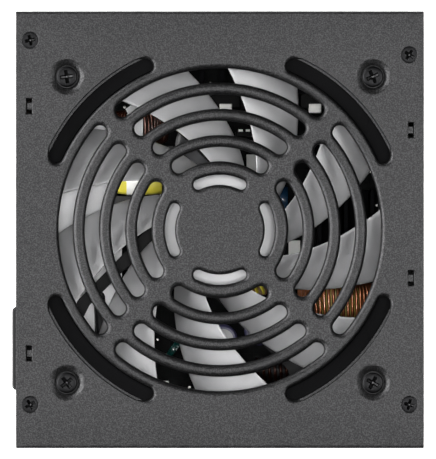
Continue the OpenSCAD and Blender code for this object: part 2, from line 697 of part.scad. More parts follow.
module switch_rocker() color([0.05, 0.05, 0.05])
    on_mains_end(inlet_y, switch_z) translate([0, 0, rocker_pivot]) rotate([90, rocker_tilt, 0]) {
        edge = rocker_rise + rocker_half * tan(rocker_tilt);
        linear_extrude(rocker_w, center = true)
            polygon([[-rocker_half, edge], [0, rocker_rise], [rocker_half, edge], [rocker_half, rocker_skirt],
                [rocker_foot[0], -rocker_foot[1]], [-rocker_foot[0], -rocker_foot[1]],
                [-rocker_half, rocker_skirt]]);
        cylinder(r = axle_r, h = axle_length, center = true);
    }
module switch_terminals() color([0.8, 0.78, 0.7]) on_mains_end(inlet_y, switch_z)
    for (s = [-1, 1]) translate([s * switch_contact, 0, -switch_depth - switch_tag[2] / 2])
        cube(switch_tag, center = true);
module mains_leads() color([0.03, 0.03, 0.03])
    for (p = [to_switch, from_switch, neutral]) tube(p, lead_d / 2, lead_sides);
earth_ring_r = 3.6;
earth_tongue = [5, 4];
module earth_lead() color([0.3, 0.6, 0.15]) {
    tube(earth, lead_d / 2, lead_sides);
    translate([earth_at[0], earth_at[1], sheet]) {
        ring(earth_ring_r, board_shank_r + 2 * snug, earth_tag_t);
        translate([earth_ring_r - 6 * snug, -earth_tongue[1] / 2, 0])
            cube([earth_tongue[0], earth_tongue[1], earth_tag_t]);
    }
}
module earth_screw() color([0.75, 0.75, 0.75]) translate([earth_at[0], earth_at[1], sheet + earth_tag_t])
    pan_screw(board_head_r, board_head_h, board_shank_r, sheet + earth_tag_t - 2 * snug);

// Main board and its fixings
module main_board() color([0.02, 0.03, 0.03])
    translate([0, 0, board_z]) linear_extrude(board_t) difference() {
        polygon(board_outline);
        for (s = standoff_spots) translate(s) circle(board_shank_r + 2 * snug);
    }
module board_standoffs() color([0.7, 0.7, 0.72])
    for (s = standoff_spots) translate([s[0], s[1], sheet])
        ring(standoff_r, board_shank_r + snug / 2, board_z - sheet);
module board_screws() color([0.75, 0.75, 0.75])
    for (s = standoff_spots) translate([s[0], s[1], deck])
        pan_screw(board_head_r, board_head_h, board_shank_r, board_screw_length);

// Mains filter
fuse_at = [-57, -5];
fuse_lift = 4;
fuse_tube = [2.4, 14];
fuse_cap = [2.7, 5];
fuse_clip_w = 3;
line_boxes = [[[-55, 21], [13, 26, 22]], [[-44, -14], [11, 18, 19]]];
line_choke_at = [-50, 50];
line_choke_frame = [26, 24, 8];
line_choke_corner_r = 2;
line_choke_z = deck + 3 + line_choke_frame[1] / 2;
line_choke_window = [14, 12];
line_coil = [6.6, 10];
disc_size = [5, 4];
thermistor_size = [6, 2.2];
disc_leg = 0.8;
disc_lift = 2;
bridge_at = [-24, -16];
bridge_size = [5, 22, 20];
bridge_pin = [0.7, 1, 4];
bridge_pin_pitch = 5;
module fuse() color([0.85, 0.85, 0.8])
    translate([fuse_at[0], fuse_at[1], deck + fuse_lift]) rotate([90, 0, 0]) {
        end = (fuse_tube[1] + fuse_cap[1]) / 2 - past;
        cylinder(r = fuse_tube[0], h = fuse_tube[1], center = true);
        for (s = [-1, 1]) translate([0, 0, s * end]) {
            cylinder(r = fuse_cap[0], h = fuse_cap[1], center = true);
            translate([0, -fuse_lift / 2, 0]) cube([fuse_clip_w, fuse_lift, fuse_clip_w], center = true);
        }
    }
module line_capacitors() color([0.75, 0.72, 0.62])
    for (b = line_boxes) block_on_board(b[0], b[1]);
module line_choke_core() color([0.1, 0.1, 0.11])
    translate([line_choke_at[0], line_choke_at[1], line_choke_z]) rotate([90, 0, 0])
        linear_extrude(line_choke_frame[2], center = true) difference() {
            rounded_plate([line_choke_frame[0], line_choke_frame[1]], line_choke_corner_r);
            square(line_choke_window, center = true);
        }
module line_choke_coils() color([0.7, 0.38, 0.18])
    translate([line_choke_at[0], line_choke_at[1], line_choke_z]) {
        limb = (line_choke_frame[0] - line_choke_window[0]) / 2;
        mid = (line_choke_window[0] + limb) / 2;
        for (s = [-1, 1]) translate([s * mid, 0, 0]) difference() {
            cylinder(r = line_coil[0], h = line_coil[1], center = true);
            cube([limb + 2 * snug, line_choke_frame[2] + 2 * snug, 2 * line_coil[1]], center = true);
        }
    }
module disc(at, size, turn) {
    r = size[0];
    stand = r + disc_lift;
    translate([at[0], at[1], deck + stand]) rotate([90, 0, turn]) {
        cylinder(r = r, h = size[1], center = true);
        for (s = [-1, 1]) translate([s * r / 2, -stand / 2, 0])
            cube([disc_leg, stand, disc_leg], center = true);
    }
}
module earth_capacitors() color([0.05, 0.16, 0.4]) {
    disc([22, 10.8], disc_size, 90);
    disc([-42, 63], disc_size, 0);
    disc([-28, 63], disc_size, 0);
}
module thermistor() color([0.08, 0.4, 0.15]) disc([-16.3, -42], thermistor_size, 55);
module bridge_rectifier() color([0.06, 0.06, 0.06]) {
    block_on_board(bridge_at, bridge_size);
    side = (bridge_size[0] + bridge_pin[0]) / 2 - fine;
    for (k = [-1.5:1:1.5]) block_on_board(bridge_at + [side, k * bridge_pin_pitch], bridge_pin);
}

// Primary side
sink_at = [18, 49];
sink_plate = [50, 3, 42];
sink_fin = [1.6, 9, 36];
sink_fins = 8;
transistor_xs = [2.1, 12.4, 22.8, 33.4];
transistor_size = [10, 4.6, 15.6];
transistor_lift = 5;
leg_size = [0.8, 0.6];
leg_pitch = 2.5;
clip_size = [4.4, 3.2, 8.4];
clip_y = 41;
clip_wall = 1.9;
clip_roof = 2.4;
transistor_y = sink_at[1] - (sink_plate[1] + transistor_size[1]) / 2;
module primary_heatsink() color([0.05, 0.05, 0.055]) {
    block_on_board(sink_at, sink_plate);
    pitch = (sink_plate[0] - past) / (sink_fins - 1);
    for (k = [0:sink_fins - 1]) translate([sink_at[0] - sink_plate[0] / 2 + k * pitch,
        sink_at[1] + sink_plate[1] / 2 - fine, deck + sink_plate[2] - sink_fin[2]]) cube(sink_fin);
}
module primary_transistors() color([0.05, 0.05, 0.05]) for (x = transistor_xs) {
    translate([0, 0, transistor_lift]) block_on_board([x, transistor_y], transistor_size);
    for (k = [-1:1])
        block_on_board([x + k * leg_pitch, transistor_y], [leg_size[0], leg_size[1], transistor_lift + fine]);
}
module transistor_clips() color([0.9, 0.9, 0.88]) {
    top = deck + transistor_lift + transistor_size[2] + 4 * snug + clip_roof;
    for (x = transistor_xs) translate([x - clip_size[0] / 2, clip_y, top - clip_size[2]]) difference() {
        cube(clip_size);
        translate([-past, clip_wall, -past])
            cube([clip_size[0] + 2 * past, clip_size[1], clip_size[2] - clip_roof + past]);
    }
}
module ring_core(size, chamfer) {
    r0 = size[0];
    r1 = size[1];
    h = size[2] / 2;
    rotate_extrude() polygon([[r0, -h + chamfer], [r0 + chamfer, -h], [r1 - chamfer, -h], [r1, -h + chamfer],
        [r1, h - chamfer], [r1 - chamfer, h], [r0 + chamfer, h], [r0, h - chamfer]]);
}
// Height of an upright ring core's middle: its winding stands just clear of the board
function ring_z(size, wire) = deck + size[1] + wire + winding_lift;
// One loop of wire round a ring core's section: a rounded square, shaped by a power rule
function loop_scale(f) = pow(pow(abs(cos(f)), 5) + pow(abs(sin(f)), 5), -0.2);
function ring_winding(at, size, wire, loops, open_angle, rings) =
    let (room = wire / 2 + winding_room, a = (size[1] - size[0]) / 2 + room, b = size[2] / 2 + room,
        mid = (size[0] + size[1]) / 2, n = loops * rings, z = ring_z(size, wire),
        turn = function (k) -90 + open_angle / 2 + (360 - open_angle) * k / n,
        body = [for (k = [0:n]) let (f = 360 * k / rings, r = mid + a * cos(f) * loop_scale(f))
            [at[0] + r * cos(turn(k)), at[1] + b * sin(f) * loop_scale(f), z + r * sin(turn(k))]])
    concat([[body[0][0], body[0][1], deck]], body, [[body[n][0], body[n][1], deck]]);
module boost_choke_core() color([0.08, 0.08, 0.09])
    translate([boost_at[0], boost_at[1], ring_z(boost_core, boost_wire)]) rotate([90, 0, 0])
        ring_core(boost_core, core_chamfer);
module boost_choke_winding() color([0.5, 0.2, 0.12]) {
    path = ring_winding(boost_at, boost_core, boost_wire, boost_loops, boost_open, loop_rings);
    echo("boost choke winding, least gap in mm", least_gap(path, boost_wire, loop_rings / 3));
    tube(path, boost_wire / 2, wire_sides);
}
// A can with a groove rolled in near its foot and a rim round its top
module can(at, r, h, groove_z, rim) {
    bevel = rim / 2;
    translate([at[0], at[1], deck]) rotate_extrude()
        polygon([[0, 0], [r - bevel, 0], [r, bevel], [r, groove_z - bevel], [r - bevel, groove_z],
            [r, groove_z + bevel], [r, h - bevel], [r - bevel, h], [r - 2 * bevel, h],
            [r - 2 * bevel, h - bevel], [0, h - bevel]]);
}
module bulk_capacitor() color([0.03, 0.03, 0.035]) can(bulk_at, bulk_r, bulk_h, 3.2, 1.4);
transformer_at = [-28.2, 18.8];
transformer_mid = 17.8;
transformer_frame = [24, 21, 20];
transformer_window = [16, 4];
transformer_limb = 6;
transformer_wrap = [15.8, 13, 28.6];
wrap_corner_r = 3;
module at_transformer() {
    translate([transformer_at[0], transformer_at[1], deck + transformer_mid]) children();
}
module transformer_core() color([0.07, 0.07, 0.075])
    at_transformer() linear_extrude(transformer_frame[2], center = true) difference() {
        square([transformer_frame[0], transformer_frame[1]], center = true);
        for (s = [-1, 1]) translate([0, s * (transformer_limb + transformer_window[1]) / 2])
            square(transformer_window, center = true);
    }
module transformer_winding() color([0.8, 0.72, 0.1])
    at_transformer() rotate([0, 90, 0]) difference() {
        linear_extrude(transformer_wrap[0], center = true)
            rounded_plate([transformer_wrap[2], transformer_wrap[1]], wrap_corner_r);
        cube([transformer_frame[2] + 2 * snug, transformer_limb + 2 * snug, transformer_frame[0]],
            center = true);
    }
standby_at = [8, -15.5];
standby_flange = [17, 15, 3];
standby_wrap = [14, 13, 11];
module standby_transformer() color([0.75, 0.66, 0.1]) {
    for (z = [0, standby_flange[2] + standby_wrap[2]])
        translate([0, 0, z]) block_on_board(standby_at, standby_flange);
    translate([0, 0, standby_flange[2]]) block_on_board(standby_at, standby_wrap);
}

// Output side
plate_at = [44, 3];
plate_size = [20, 22, 5];
plate_fin = [1.6, 22, 34];
plate_fins = 5;
switch_size = [4.6, 6.8, 14];
switch_lift = 2;
switch_ys = [-5, 3, 11];
switch_x = plate_at[0] - plate_size[0] / 2 - switch_size[0] / 2 - snug;
module output_heatsink() color([0.05, 0.05, 0.055]) {
    block_on_board(plate_at, plate_size);
    pitch = (plate_size[0] - plate_fin[0]) / (plate_fins - 1);
    for (k = [0:plate_fins - 1]) translate([0, 0, plate_size[2] - fine])
        block_on_board(plate_at + [(k - (plate_fins - 1) / 2) * pitch, 0], plate_fin);
}
module output_transistors() color([0.05, 0.05, 0.05]) for (y = switch_ys) {
    translate([0, 0, switch_lift]) block_on_board([switch_x, y], switch_size);
    for (k = [-1, 1]) block_on_board([switch_x, y + k * 2], [leg_size[1], leg_size[0], switch_lift + fine]);
}
module output_choke_core() color([0.75, 0.68, 0.2])
    translate([choke_at[0], choke_at[1], ring_z(choke_core, choke_wire)]) rotate([90, 0, 0])
        ring_core(choke_core, core_chamfer);
module output_choke_winding() color([0.75, 0.42, 0.2]) {
    path = ring_winding(choke_at, choke_core, choke_wire, choke_loops, choke_open, loop_rings);
    echo("output choke winding, least gap in mm", least_gap(path, choke_wire, loop_rings / 3));
    tube(path, choke_wire / 2, wire_sides);
}
coil_z = deck + coil_core_r + coil_wire + winding_lift;
module filter_coil_core() color([0.1, 0.1, 0.1])
    translate([coil_at[0], coil_at[1], coil_z]) rotate([0, 90, 0])
        cylinder(r = coil_core_r, h = coil_core_length, center = true);
function coil_path() =
    let (r = coil_core_r + coil_wire / 2 + winding_room, n = coil_loops * loop_rings,
        body = [for (k = [0:n]) let (f = 360 * k / loop_rings)
            [coil_at[0] + coil_step * (k / loop_rings - coil_loops / 2), coil_at[1] + r * cos(f),
                coil_z + r * sin(f)]])
    concat([[body[0][0], body[0][1], deck]], body, [[body[n][0], body[n][1], deck]]);
module filter_coil_winding() color([0.5, 0.2, 0.12]) {
    path = coil_path();
    echo("filter coil winding, least gap in mm", least_gap(path, coil_wire, loop_rings / 3));
    tube(path, coil_wire / 2, wire_sides);
}
module output_capacitors() color([0.22, 0.2, 0.45])
    for (s = output_cans) can(s, can_r, can_h, 2.1, 1.4);
control_at = [17.8, 33.6];
control_size = [24.6, board_t, 27];
header_pitch = 2.54;
header_pins = 8;
header_pin = [1.6, 0.8, 2.4];
module control_board() color([0.03, 0.06, 0.05]) {
    block_on_board(control_at, control_size);
    for (k = [0:header_pins - 1]) translate([0, 0, control_size[2] - header_pin[2] - 6 * snug])
        block_on_board(control_at + [(k - (header_pins - 1) / 2) * header_pitch - header_pin[0],
            (control_size[1] + header_pin[1]) / 2 - fine], header_pin);
}
// Headers: middle and size of each, and the two that a plug fills
header_spots = [[[-22, -56], [8, 5]], [[-14, 62], [10, 6]]];
plugged_spots = [[[12.4, 22.6], [6, 8]], [[26.4, -6.8], [4, 6]]];
header_h = 7.5;
header_wall = 0.7;
header_floor = 3;
module signal_headers() color([0.92, 0.92, 0.9]) {
    for (s = header_spots) difference() {
        block_on_board(s[0], [s[1][0], s[1][1], header_h]);
        translate([0, 0, header_floor])
            block_on_board(s[0], [s[1][0] - 2 * header_wall, s[1][1] - 2 * header_wall, header_h]);
    }
    for (s = plugged_spots) block_on_board(s[0], [s[1][0], s[1][1], header_h]);
}

// Output end
bar_x = 50;
bar_ys = [20, 32, 44];
bar_size = [1.6, 8, 16];
module link_bars() color([0.75, 0.72, 0.68]) for (y = bar_ys) translate([bar_x, y, deck]) {
    cube(bar_size);
    translate([0, 0, bar_size[2] - bar_size[0]]) cube([output_board_x - bar_x, bar_size[1], bar_size[0]]);
}
output_board_size = [board_t, 132, 47];
output_board_z = 9;
module output_board() color([0.02, 0.03, 0.03])
    translate([output_board_x, -output_board_size[1] / 2, output_board_z]) cube(output_board_size);
module socket(cols) {
    translate([0, 0, -socket_back]) linear_extrude(socket_back - 2 * snug) difference() {
        square(socket_size(cols), center = true);
        at_contacts(cols) square(socket_cell, center = true);
    }
}
module at_contacts(cols) {
    for (c = [0:cols - 1], r = [-0.5, 0.5]) translate(socket_pitch * [c - (cols - 1) / 2, r]) children();
}
module output_sockets_wide() color([0.03, 0.03, 0.03])
    for (s = wide_sockets) on_output_end(s[0], s[1]) socket(s[2]);
module output_sockets() color([0.03, 0.03, 0.03])
    for (s = small_sockets) on_output_end(s[0], s[1]) socket(s[2]);
contact_foot = [socket_cell - snug, 1.4];
contact_pin = [1.1, 8];
module output_pins() color([0.85, 0.75, 0.4])
    for (s = concat(wide_sockets, small_sockets)) on_output_end(s[0], s[1])
        translate([0, 0, -socket_back]) at_contacts(s[2]) {
            linear_extrude(contact_foot[1]) square(contact_foot[0], center = true);
            linear_extrude(contact_pin[1]) square(contact_pin[0], center = true);
        }

cover_shell();
base_shell();
cover_screws();
insulating_sheet();
fan_frame();
fan_struts();
fan_rotor();
fan_yoke();
fan_magnet();
fan_shaft();
fan_clip();
fan_bearing();
fan_stator();
fan_coils();
fan_board();
fan_screws();
fan_lead();
air_baffle();
baffle_rivets();
mains_inlet();
inlet_pins();
switch_housing();
switch_rocker();
switch_terminals();
mains_leads();
earth_lead();
earth_screw();
main_board();
board_standoffs();
board_screws();
fuse();
line_capacitors();
line_choke_core();
line_choke_coils();
earth_capacitors();
thermistor();
bridge_rectifier();
primary_heatsink();
primary_transistors();
transistor_clips();
boost_choke_core();
boost_choke_winding();
bulk_capacitor();
transformer_core();
transformer_winding();
standby_transformer();
output_heatsink();
output_transistors();
output_choke_core();
output_choke_winding();
filter_coil_core();
filter_coil_winding();
output_capacitors();
control_board();
signal_headers();
link_bars();
output_board();
output_sockets_wide();
output_sockets();
output_pins();
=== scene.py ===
"""Looks of a desktop power supply unit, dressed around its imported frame.

The unit stands on Z = 0 with its fan face up, the mains end at -X and the output end at +X.
Sizes are in millimetres, and only what goes to Blender or comes from the frame is in metres.
"""

import json
import logging
import math
from abc import ABC, abstractmethod
from collections.abc import Callable, Iterable, Sequence
from dataclasses import dataclass, field
from enum import Enum
from itertools import pairwise
from typing import Union

import bmesh
import bpy
from mathutils import Matrix, Vector

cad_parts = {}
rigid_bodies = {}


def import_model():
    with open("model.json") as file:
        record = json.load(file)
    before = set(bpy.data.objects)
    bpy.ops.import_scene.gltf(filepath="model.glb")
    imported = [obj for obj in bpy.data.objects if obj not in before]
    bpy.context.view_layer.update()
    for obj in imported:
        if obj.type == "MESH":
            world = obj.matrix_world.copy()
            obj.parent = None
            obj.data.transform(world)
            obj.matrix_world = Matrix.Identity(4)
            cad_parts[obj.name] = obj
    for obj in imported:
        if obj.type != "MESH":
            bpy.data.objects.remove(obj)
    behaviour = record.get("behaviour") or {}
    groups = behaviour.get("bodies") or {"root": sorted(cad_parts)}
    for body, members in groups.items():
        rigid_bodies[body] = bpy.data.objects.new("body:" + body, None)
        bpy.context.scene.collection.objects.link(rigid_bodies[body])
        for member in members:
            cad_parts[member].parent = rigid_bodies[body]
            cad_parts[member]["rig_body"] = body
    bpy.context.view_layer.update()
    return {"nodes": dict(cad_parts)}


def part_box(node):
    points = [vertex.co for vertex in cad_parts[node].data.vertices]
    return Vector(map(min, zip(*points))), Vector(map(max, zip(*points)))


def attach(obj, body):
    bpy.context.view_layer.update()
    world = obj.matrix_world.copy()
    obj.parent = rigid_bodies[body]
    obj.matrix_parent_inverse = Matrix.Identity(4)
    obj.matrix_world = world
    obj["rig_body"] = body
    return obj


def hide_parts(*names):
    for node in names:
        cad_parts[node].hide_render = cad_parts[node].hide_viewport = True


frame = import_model()
MM = 0.001
LOG = logging.getLogger("power_supply")

Flat = tuple[float, float]
Point = tuple[float, float, float]
Colour = tuple[float, float, float]
Outline = Callable[[float], list[Flat]]
Row = list[bmesh.types.BMVert]
Paint = Callable[[int], int]

CORNERS = ((1, 1), (-1, 1), (-1, -1), (1, -1))
QUARTERS = (0.0, 90.0, 180.0, 270.0)


class Body(Enum):
    """Bodies that a piece can ride on."""

    CASE = "case"
    ROTOR = "rotor"
    ROCKER = "rocker"


class Head(Enum):
    """Shapes of a screw's head."""

    SUNK = "sunk"
    PAN = "pan"


class Axis(Enum):
    """Directions along which a finish runs."""

    X = "X"
    Y = "Y"
    Z = "Z"


class Value:
    """A shader socket that takes part in Python expressions on numbers."""

    def __init__(self, nodes: "Nodes", socket: bpy.types.NodeSocket) -> None:
        """Keeps the socket and the nodes that it belongs to."""
        self.nodes = nodes
        self.socket = socket

    def maths(self, operation: str, first: "Number", second: "Number" = 0.0) -> "Value":
        """Adds a Math node on two numbers and gives its result."""
        return self.nodes.node("ShaderNodeMath", {"operation": operation}, {0: first, 1: second})

    def __add__(self, other: "Number") -> "Value":
        """Sum."""
        return self.maths("ADD", self, other)

    def __radd__(self, other: "Number") -> "Value":
        """Sum with a plain number first."""
        return self.maths("ADD", other, self)

    def __sub__(self, other: "Number") -> "Value":
        """Difference."""
        return self.maths("SUBTRACT", self, other)

    def __rsub__(self, other: "Number") -> "Value":
        """Difference from a plain number."""
        return self.maths("SUBTRACT", other, self)

    def __mul__(self, other: "Number") -> "Value":
        """Product."""
        return self.maths("MULTIPLY", self, other)

    def __rmul__(self, other: "Number") -> "Value":
        """Product with a plain number first."""
        return self.maths("MULTIPLY", other, self)

    def __abs__(self) -> "Value":
        """Size without its sign."""
        return self.maths("ABSOLUTE", self)

    def wave(self) -> "Value":
        """Sine."""
        return self.maths("SINE", self)


Number = Union[Value, float]


class Nodes:
    """The nodes of a material or of the surround."""

    def __init__(self, tree: bpy.types.NodeTree) -> None:
        """Keeps the tree that takes the nodes."""
        self.tree = tree

    def of_type(self, kind: str) -> bpy.types.Node:
        """The first node of a type that the tree has."""
        return next(n for n in self.tree.nodes if n.type == kind)

    def feed(self, socket: bpy.types.NodeSocket, value: object) -> None:
        """Links a value to a socket, or sets the socket to a number or a colour.

        Args:
            socket: The input to fill.
            value: A Value, a number, or three numbers of a colour or a vector.
        """
        if isinstance(value, Value):
            self.tree.links.new(value.socket, socket)
        elif isinstance(value, tuple) and len(socket.default_value) > len(value):
            socket.default_value = (*value, 1.0)
        else:
            socket.default_value = value

    def node(self, kind: str, settings: dict[str, object] | None = None,
             sockets: dict[str | int, object] | None = None, output: str | int = 0) -> Value:
        """Adds one node.

        Args:
            kind: The node's type.
            settings: Its properties, which are set first; "stops" are a ramp's places and greys.
            sockets: Values or links of its inputs, by name or number.
            output: The output that is wanted.

        Returns:
            The wanted output.
        """
        made = self.tree.nodes.new(kind)
        for key, value in (settings or {}).items():
            if key == "stops":
                for stop, (place, grey) in zip(made.color_ramp.elements, value, strict=True):
                    stop.position = place
                    stop.color = (grey, grey, grey, 1.0)
            else:
                setattr(made, key, value)
        for key, value in (sockets or {}).items():
            self.feed(made.inputs[key], value)
        return Value(self, made.outputs[output])


class Shader(Nodes):
    """A material's nodes, with the principled surface that a finish feeds."""

    def __init__(self, name: str) -> None:
        """Starts a material.

        Args:
            name: The material's name.
        """
        self.material = bpy.data.materials.new(name)
        self.material.use_nodes = True
        super().__init__(self.material.node_tree)
        self.surface = self.of_type("BSDF_PRINCIPLED")
        self.place = self.node("ShaderNodeTexCoord", output="Object")

    def along(self, axis: Axis) -> Value:
        """Place along an axis, in metres."""
        return self.node("ShaderNodeSeparateXYZ", {}, {"Vector": self.place}, axis.value)

    def noise(self, size: float, detail: float = 2.0, stretch: Point = (1.0, 1.0, 1.0)) -> Value:
        """Noise from about 0 to 1, even round 0.5.

        Args:
            size: Size of its lumps, in millimetres.
            detail: How many finer layers it has.
            stretch: How much finer the lumps are along each axis.

        Returns:
            The noise.
        """
        place = self.node("ShaderNodeVectorMath", {"operation": "MULTIPLY"}, {0: self.place, 1: stretch})
        return self.node("ShaderNodeTexNoise", {},
                         {"Vector": place, "Scale": 1 / (size * MM), "Detail": detail})

    def cells(self, size: float) -> Value:
        """Distance from the middle of scattered cells of that size, in cells."""
        return self.node("ShaderNodeTexVoronoi", {}, {"Vector": self.place, "Scale": 1 / (size * MM)})

    def step(self, value: Value, low: float, high: float) -> Value:
        """Soft step from 0 at low to 1 at high."""
        return self.node("ShaderNodeMapRange", {"interpolation_type": "SMOOTHSTEP"},
                         {"Value": value, "From Min": low, "From Max": high})

    def contrast(self, value: Value, low: float, high: float) -> Value:
        """A value pulled apart by a ramp, black below low and white above high."""
        return self.node("ShaderNodeValToRGB", {"stops": [(low, 0.0), (high, 1.0)]}, {"Fac": value})

    def tint(self, colour: Colour | Value, shade: Value) -> Value:
        """A colour made lighter or darker."""
        return self.node("ShaderNodeVectorMath", {"operation": "SCALE"}, {0: colour, "Scale": shade})

    def mix(self, share: Value, first: Colour | Value, second: Colour | Value) -> Value:
        """A colour between two: the second where the share is 1."""
        return self.node("ShaderNodeMix", {"data_type": "RGBA"}, {0: share, 6: first, 7: second}, 2)

    def bump(self, height: Value, depth: float) -> Value:
        """A normal that follows a height of that depth, in millimetres."""
        return self.node("ShaderNodeBump", {}, {"Strength": 1.0, "Distance": depth * MM, "Height": height})

    def dress(self, sockets: dict[str, object]) -> None:
        """Feeds the principled surface by the names of its inputs."""
        for name, value in sockets.items():
            self.feed(self.surface.inputs[name], value)


@dataclass(frozen=True)
class Finish(ABC):
    """What a surface is made of."""

    name: str
    colour: Colour

    @abstractmethod
    def paint(self, shader: Shader) -> None:
        """Builds the finish on a shader."""

    def make(self) -> bpy.types.Material:
        """Gives the finish's material, made once.

        Returns:
            The material.
        """
        found = bpy.data.materials.get("finish_" + self.name)
        if found is None:
            shader = Shader("finish_" + self.name)
            self.paint(shader)
            found = shader.material
        return found


@dataclass(frozen=True)
class PowderCoat(Finish):
    """Baked metallic powder paint: a fine orange-peel texture with lighter specks, matt at low angles."""

    speck: Colour = (0.047, 0.047, 0.048)
    edge_tint: Colour = (0.45, 0.45, 0.45)
    roughness: float = 0.46
    speck_size: float = 0.42
    peel_size: float = 0.7
    peel_depth: float = 0.09

    def paint(self, shader: Shader) -> None:
        """Builds the paint from its specks, soft clouds and the peel's bump.

        Args:
            shader: Takes the nodes.
        """
        grain = shader.noise(self.speck_size, 2.0)
        specks = shader.contrast(grain, 0.42, 0.68)
        cloud = shader.noise(26.0, 2.0)
        mixed = shader.mix(specks, self.colour, self.speck)
        peel = shader.noise(self.peel_size, 2.0) * 0.7 + grain * 0.3
        shader.dress({"Base Color": shader.tint(mixed, 0.94 + cloud * 0.12),
                      "Roughness": self.roughness + (grain - 0.5) * 0.4,
                      "Metallic": 1.0,
                      "Specular Tint": self.edge_tint,
                      "Normal": shader.bump(peel, self.peel_depth)})


@dataclass(frozen=True)
class Moulded(Finish):
    """Moulded plastic or a coated skin, with a spark-eroded grain.

    Attributes:
        roughness: Roughness of the skin.
        grain_size: Size of the grain's lumps.
        grain_depth: Depth of the grain.
        shine: Strength of the highlights.
        milk: Share of the light that goes into the plastic and scatters there.
        milk_depth: How far that light spreads.
    """

    roughness: float = 0.45
    grain_size: float = 0.4
    grain_depth: float = 0.012
    shine: float = 0.5
    milk: float = 0.0
    milk_depth: float = 6.0

    def paint(self, shader: Shader) -> None:
        """Builds the plastic from its grain and a slow change of colour.

        Args:
            shader: Takes the nodes.
        """
        grain = shader.noise(self.grain_size, 2.0)
        flow = shader.noise(14.0, 2.0)
        shader.dress({"Base Color": shader.tint(self.colour, 1 + (flow - 0.5) * 0.1 + (grain - 0.5) * 0.06),
                      "Roughness": self.roughness + (grain - 0.5) * 0.16 + (flow - 0.5) * 0.1,
                      "Specular IOR Level": self.shine,
                      "Subsurface Weight": self.milk,
                      "Subsurface Radius": (1.0, 1.0, 1.0),
                      "Subsurface Scale": self.milk_depth * MM,
                      "Normal": shader.bump(grain, self.grain_depth)})


@dataclass(frozen=True)
class Metal(Finish):
    """Bare or plated metal, drawn or brushed along one axis."""

    roughness: float = 0.3
    grain: Axis = Axis.Z
    scratch_depth: float = 0.006

    def paint(self, shader: Shader) -> None:
        """Builds the metal from its drawing lines and stains.

        Args:
            shader: Takes the nodes.
        """
        fine, coarse = 1.0, 0.06
        stretch = tuple(coarse if axis is self.grain else fine for axis in Axis)
        lines = shader.noise(0.25, 2.0, stretch)
        stain = shader.noise(5.0, 3.0)
        shader.dress({"Base Color": shader.tint(self.colour, 0.9 + lines * 0.12 + (stain - 0.5) * 0.16),
                      "Metallic": 1.0,
                      "Roughness": self.roughness + (lines - 0.5) * 0.2 + (stain - 0.5) * 0.14,
                      "Normal": shader.bump(lines, self.scratch_depth)})


@dataclass(frozen=True)
class Enamel(Finish):
    """Enamelled copper wire: clear lacquer over drawn copper."""

    dark: Colour = (0.28, 0.09, 0.03)

    def paint(self, shader: Shader) -> None:
        """Builds the wire from a lacquer that pools darker in places.

        Args:
            shader: Takes the nodes.
        """
        pool = shader.contrast(shader.noise(3.0, 2.0), 0.35, 0.75)
        shader.dress({"Base Color": shader.mix(pool, self.colour, self.dark),
                      "Metallic": 0.85,
                      "Roughness": 0.26 + shader.noise(0.6, 2.0) * 0.16,
                      "Coat Weight": 0.6,
                      "Coat Roughness": 0.12,
                      "Normal": shader.bump(shader.noise(0.8, 1.0), 0.01)})


@dataclass(frozen=True)
class Tape(Finish):
    """Wrapped film tape: overlapping edges and creases."""

    turn: float = 6.2

    def paint(self, shader: Shader) -> None:
        """Builds the tape from its overlaps along Z and its creases.

        Args:
            shader: Takes the nodes.
        """
        step = shader.along(Axis.Z) * (2 * math.pi / (self.turn * MM))
        lap = shader.step(step.wave(), 0.75, 0.98)
        crease = shader.noise(2.4, 3.0, (1.0, 1.0, 0.4))
        shader.dress({"Base Color": shader.tint(self.colour, 1 - lap * 0.3 + (crease - 0.5) * 0.24),
                      "Roughness": 0.3 + crease * 0.2,
                      "Coat Weight": 0.25,
                      "Normal": shader.bump(crease * 0.6 + lap * 0.4, 0.12)})


@dataclass(frozen=True)
class SolderMask(Finish):
    """Printed board: dark mask over copper tracks, with soldered points."""

    track: Colour = (0.012, 0.013, 0.013)
    solder: Colour = (0.2, 0.2, 0.19)
    pitch: float = 5.08
    track_w: float = 0.06
    point_size: float = 4.6

    def paint(self, shader: Shader) -> None:
        """Builds the mask from a grid of tracks and scattered solder.

        Args:
            shader: Takes the nodes.
        """
        grid: Value | None = None
        for axis in Axis:
            beat = (shader.along(axis) * (math.pi / (self.pitch * MM)) + shader.noise(30.0, 0.0) * 4).wave()
            line = 1 - shader.step(abs(beat), 0.0, self.track_w)
            grid = line if grid is None else grid.maths("MAXIMUM", grid, line)
        point = 1 - shader.step(shader.cells(self.point_size), 0.1, 0.13)
        weave = shader.noise(0.9, 1.0)
        tracks = shader.mix(grid * 0.8, self.colour, self.track)
        shader.dress({"Base Color": shader.mix(point, shader.tint(tracks, 0.8 + weave * 0.4), self.solder),
                      "Metallic": point,
                      "Roughness": 0.42 - point * 0.15 + (weave - 0.5) * 0.15,
                      "Specular IOR Level": 0.03,
                      "Normal": shader.bump(point + grid * 0.3, 0.08)})


@dataclass(frozen=True)
class FrostedFilm(Finish):
    """Frosted sheet of clear plastic that scatters the light it catches, with a painted glow of its own.

    Attributes:
        painted_glow: Painted light: the film glows of its own, standing in for light that would reach it in
            the case; no lamp is behind it.
    """

    painted_glow: float = 0.03

    def paint(self, shader: Shader) -> None:
        """Builds the film from its frosting, a slow waviness and a painted glow that stands in for light in
        the case.

        Args:
            shader: Takes the nodes.
        """
        frost = shader.noise(0.5, 3.0)
        wave = shader.noise(18.0, 1.0)
        shade = 0.96 + (frost - 0.5) * 0.12 + (wave - 0.5) * 0.08
        shader.dress({"Base Color": shader.tint(self.colour, shade),
                      "Roughness": 0.5 + (frost - 0.5) * 0.2,
                      # Painted light: the emission makes the film glow though no lamp lights it, following
                      # the waviness.
                      "Emission Color": shader.tint(self.colour, 0.9 + wave * 0.2),
                      "Emission Strength": self.painted_glow,
                      "Normal": shader.bump(frost * 0.6 + wave * 0.4, 0.02)})


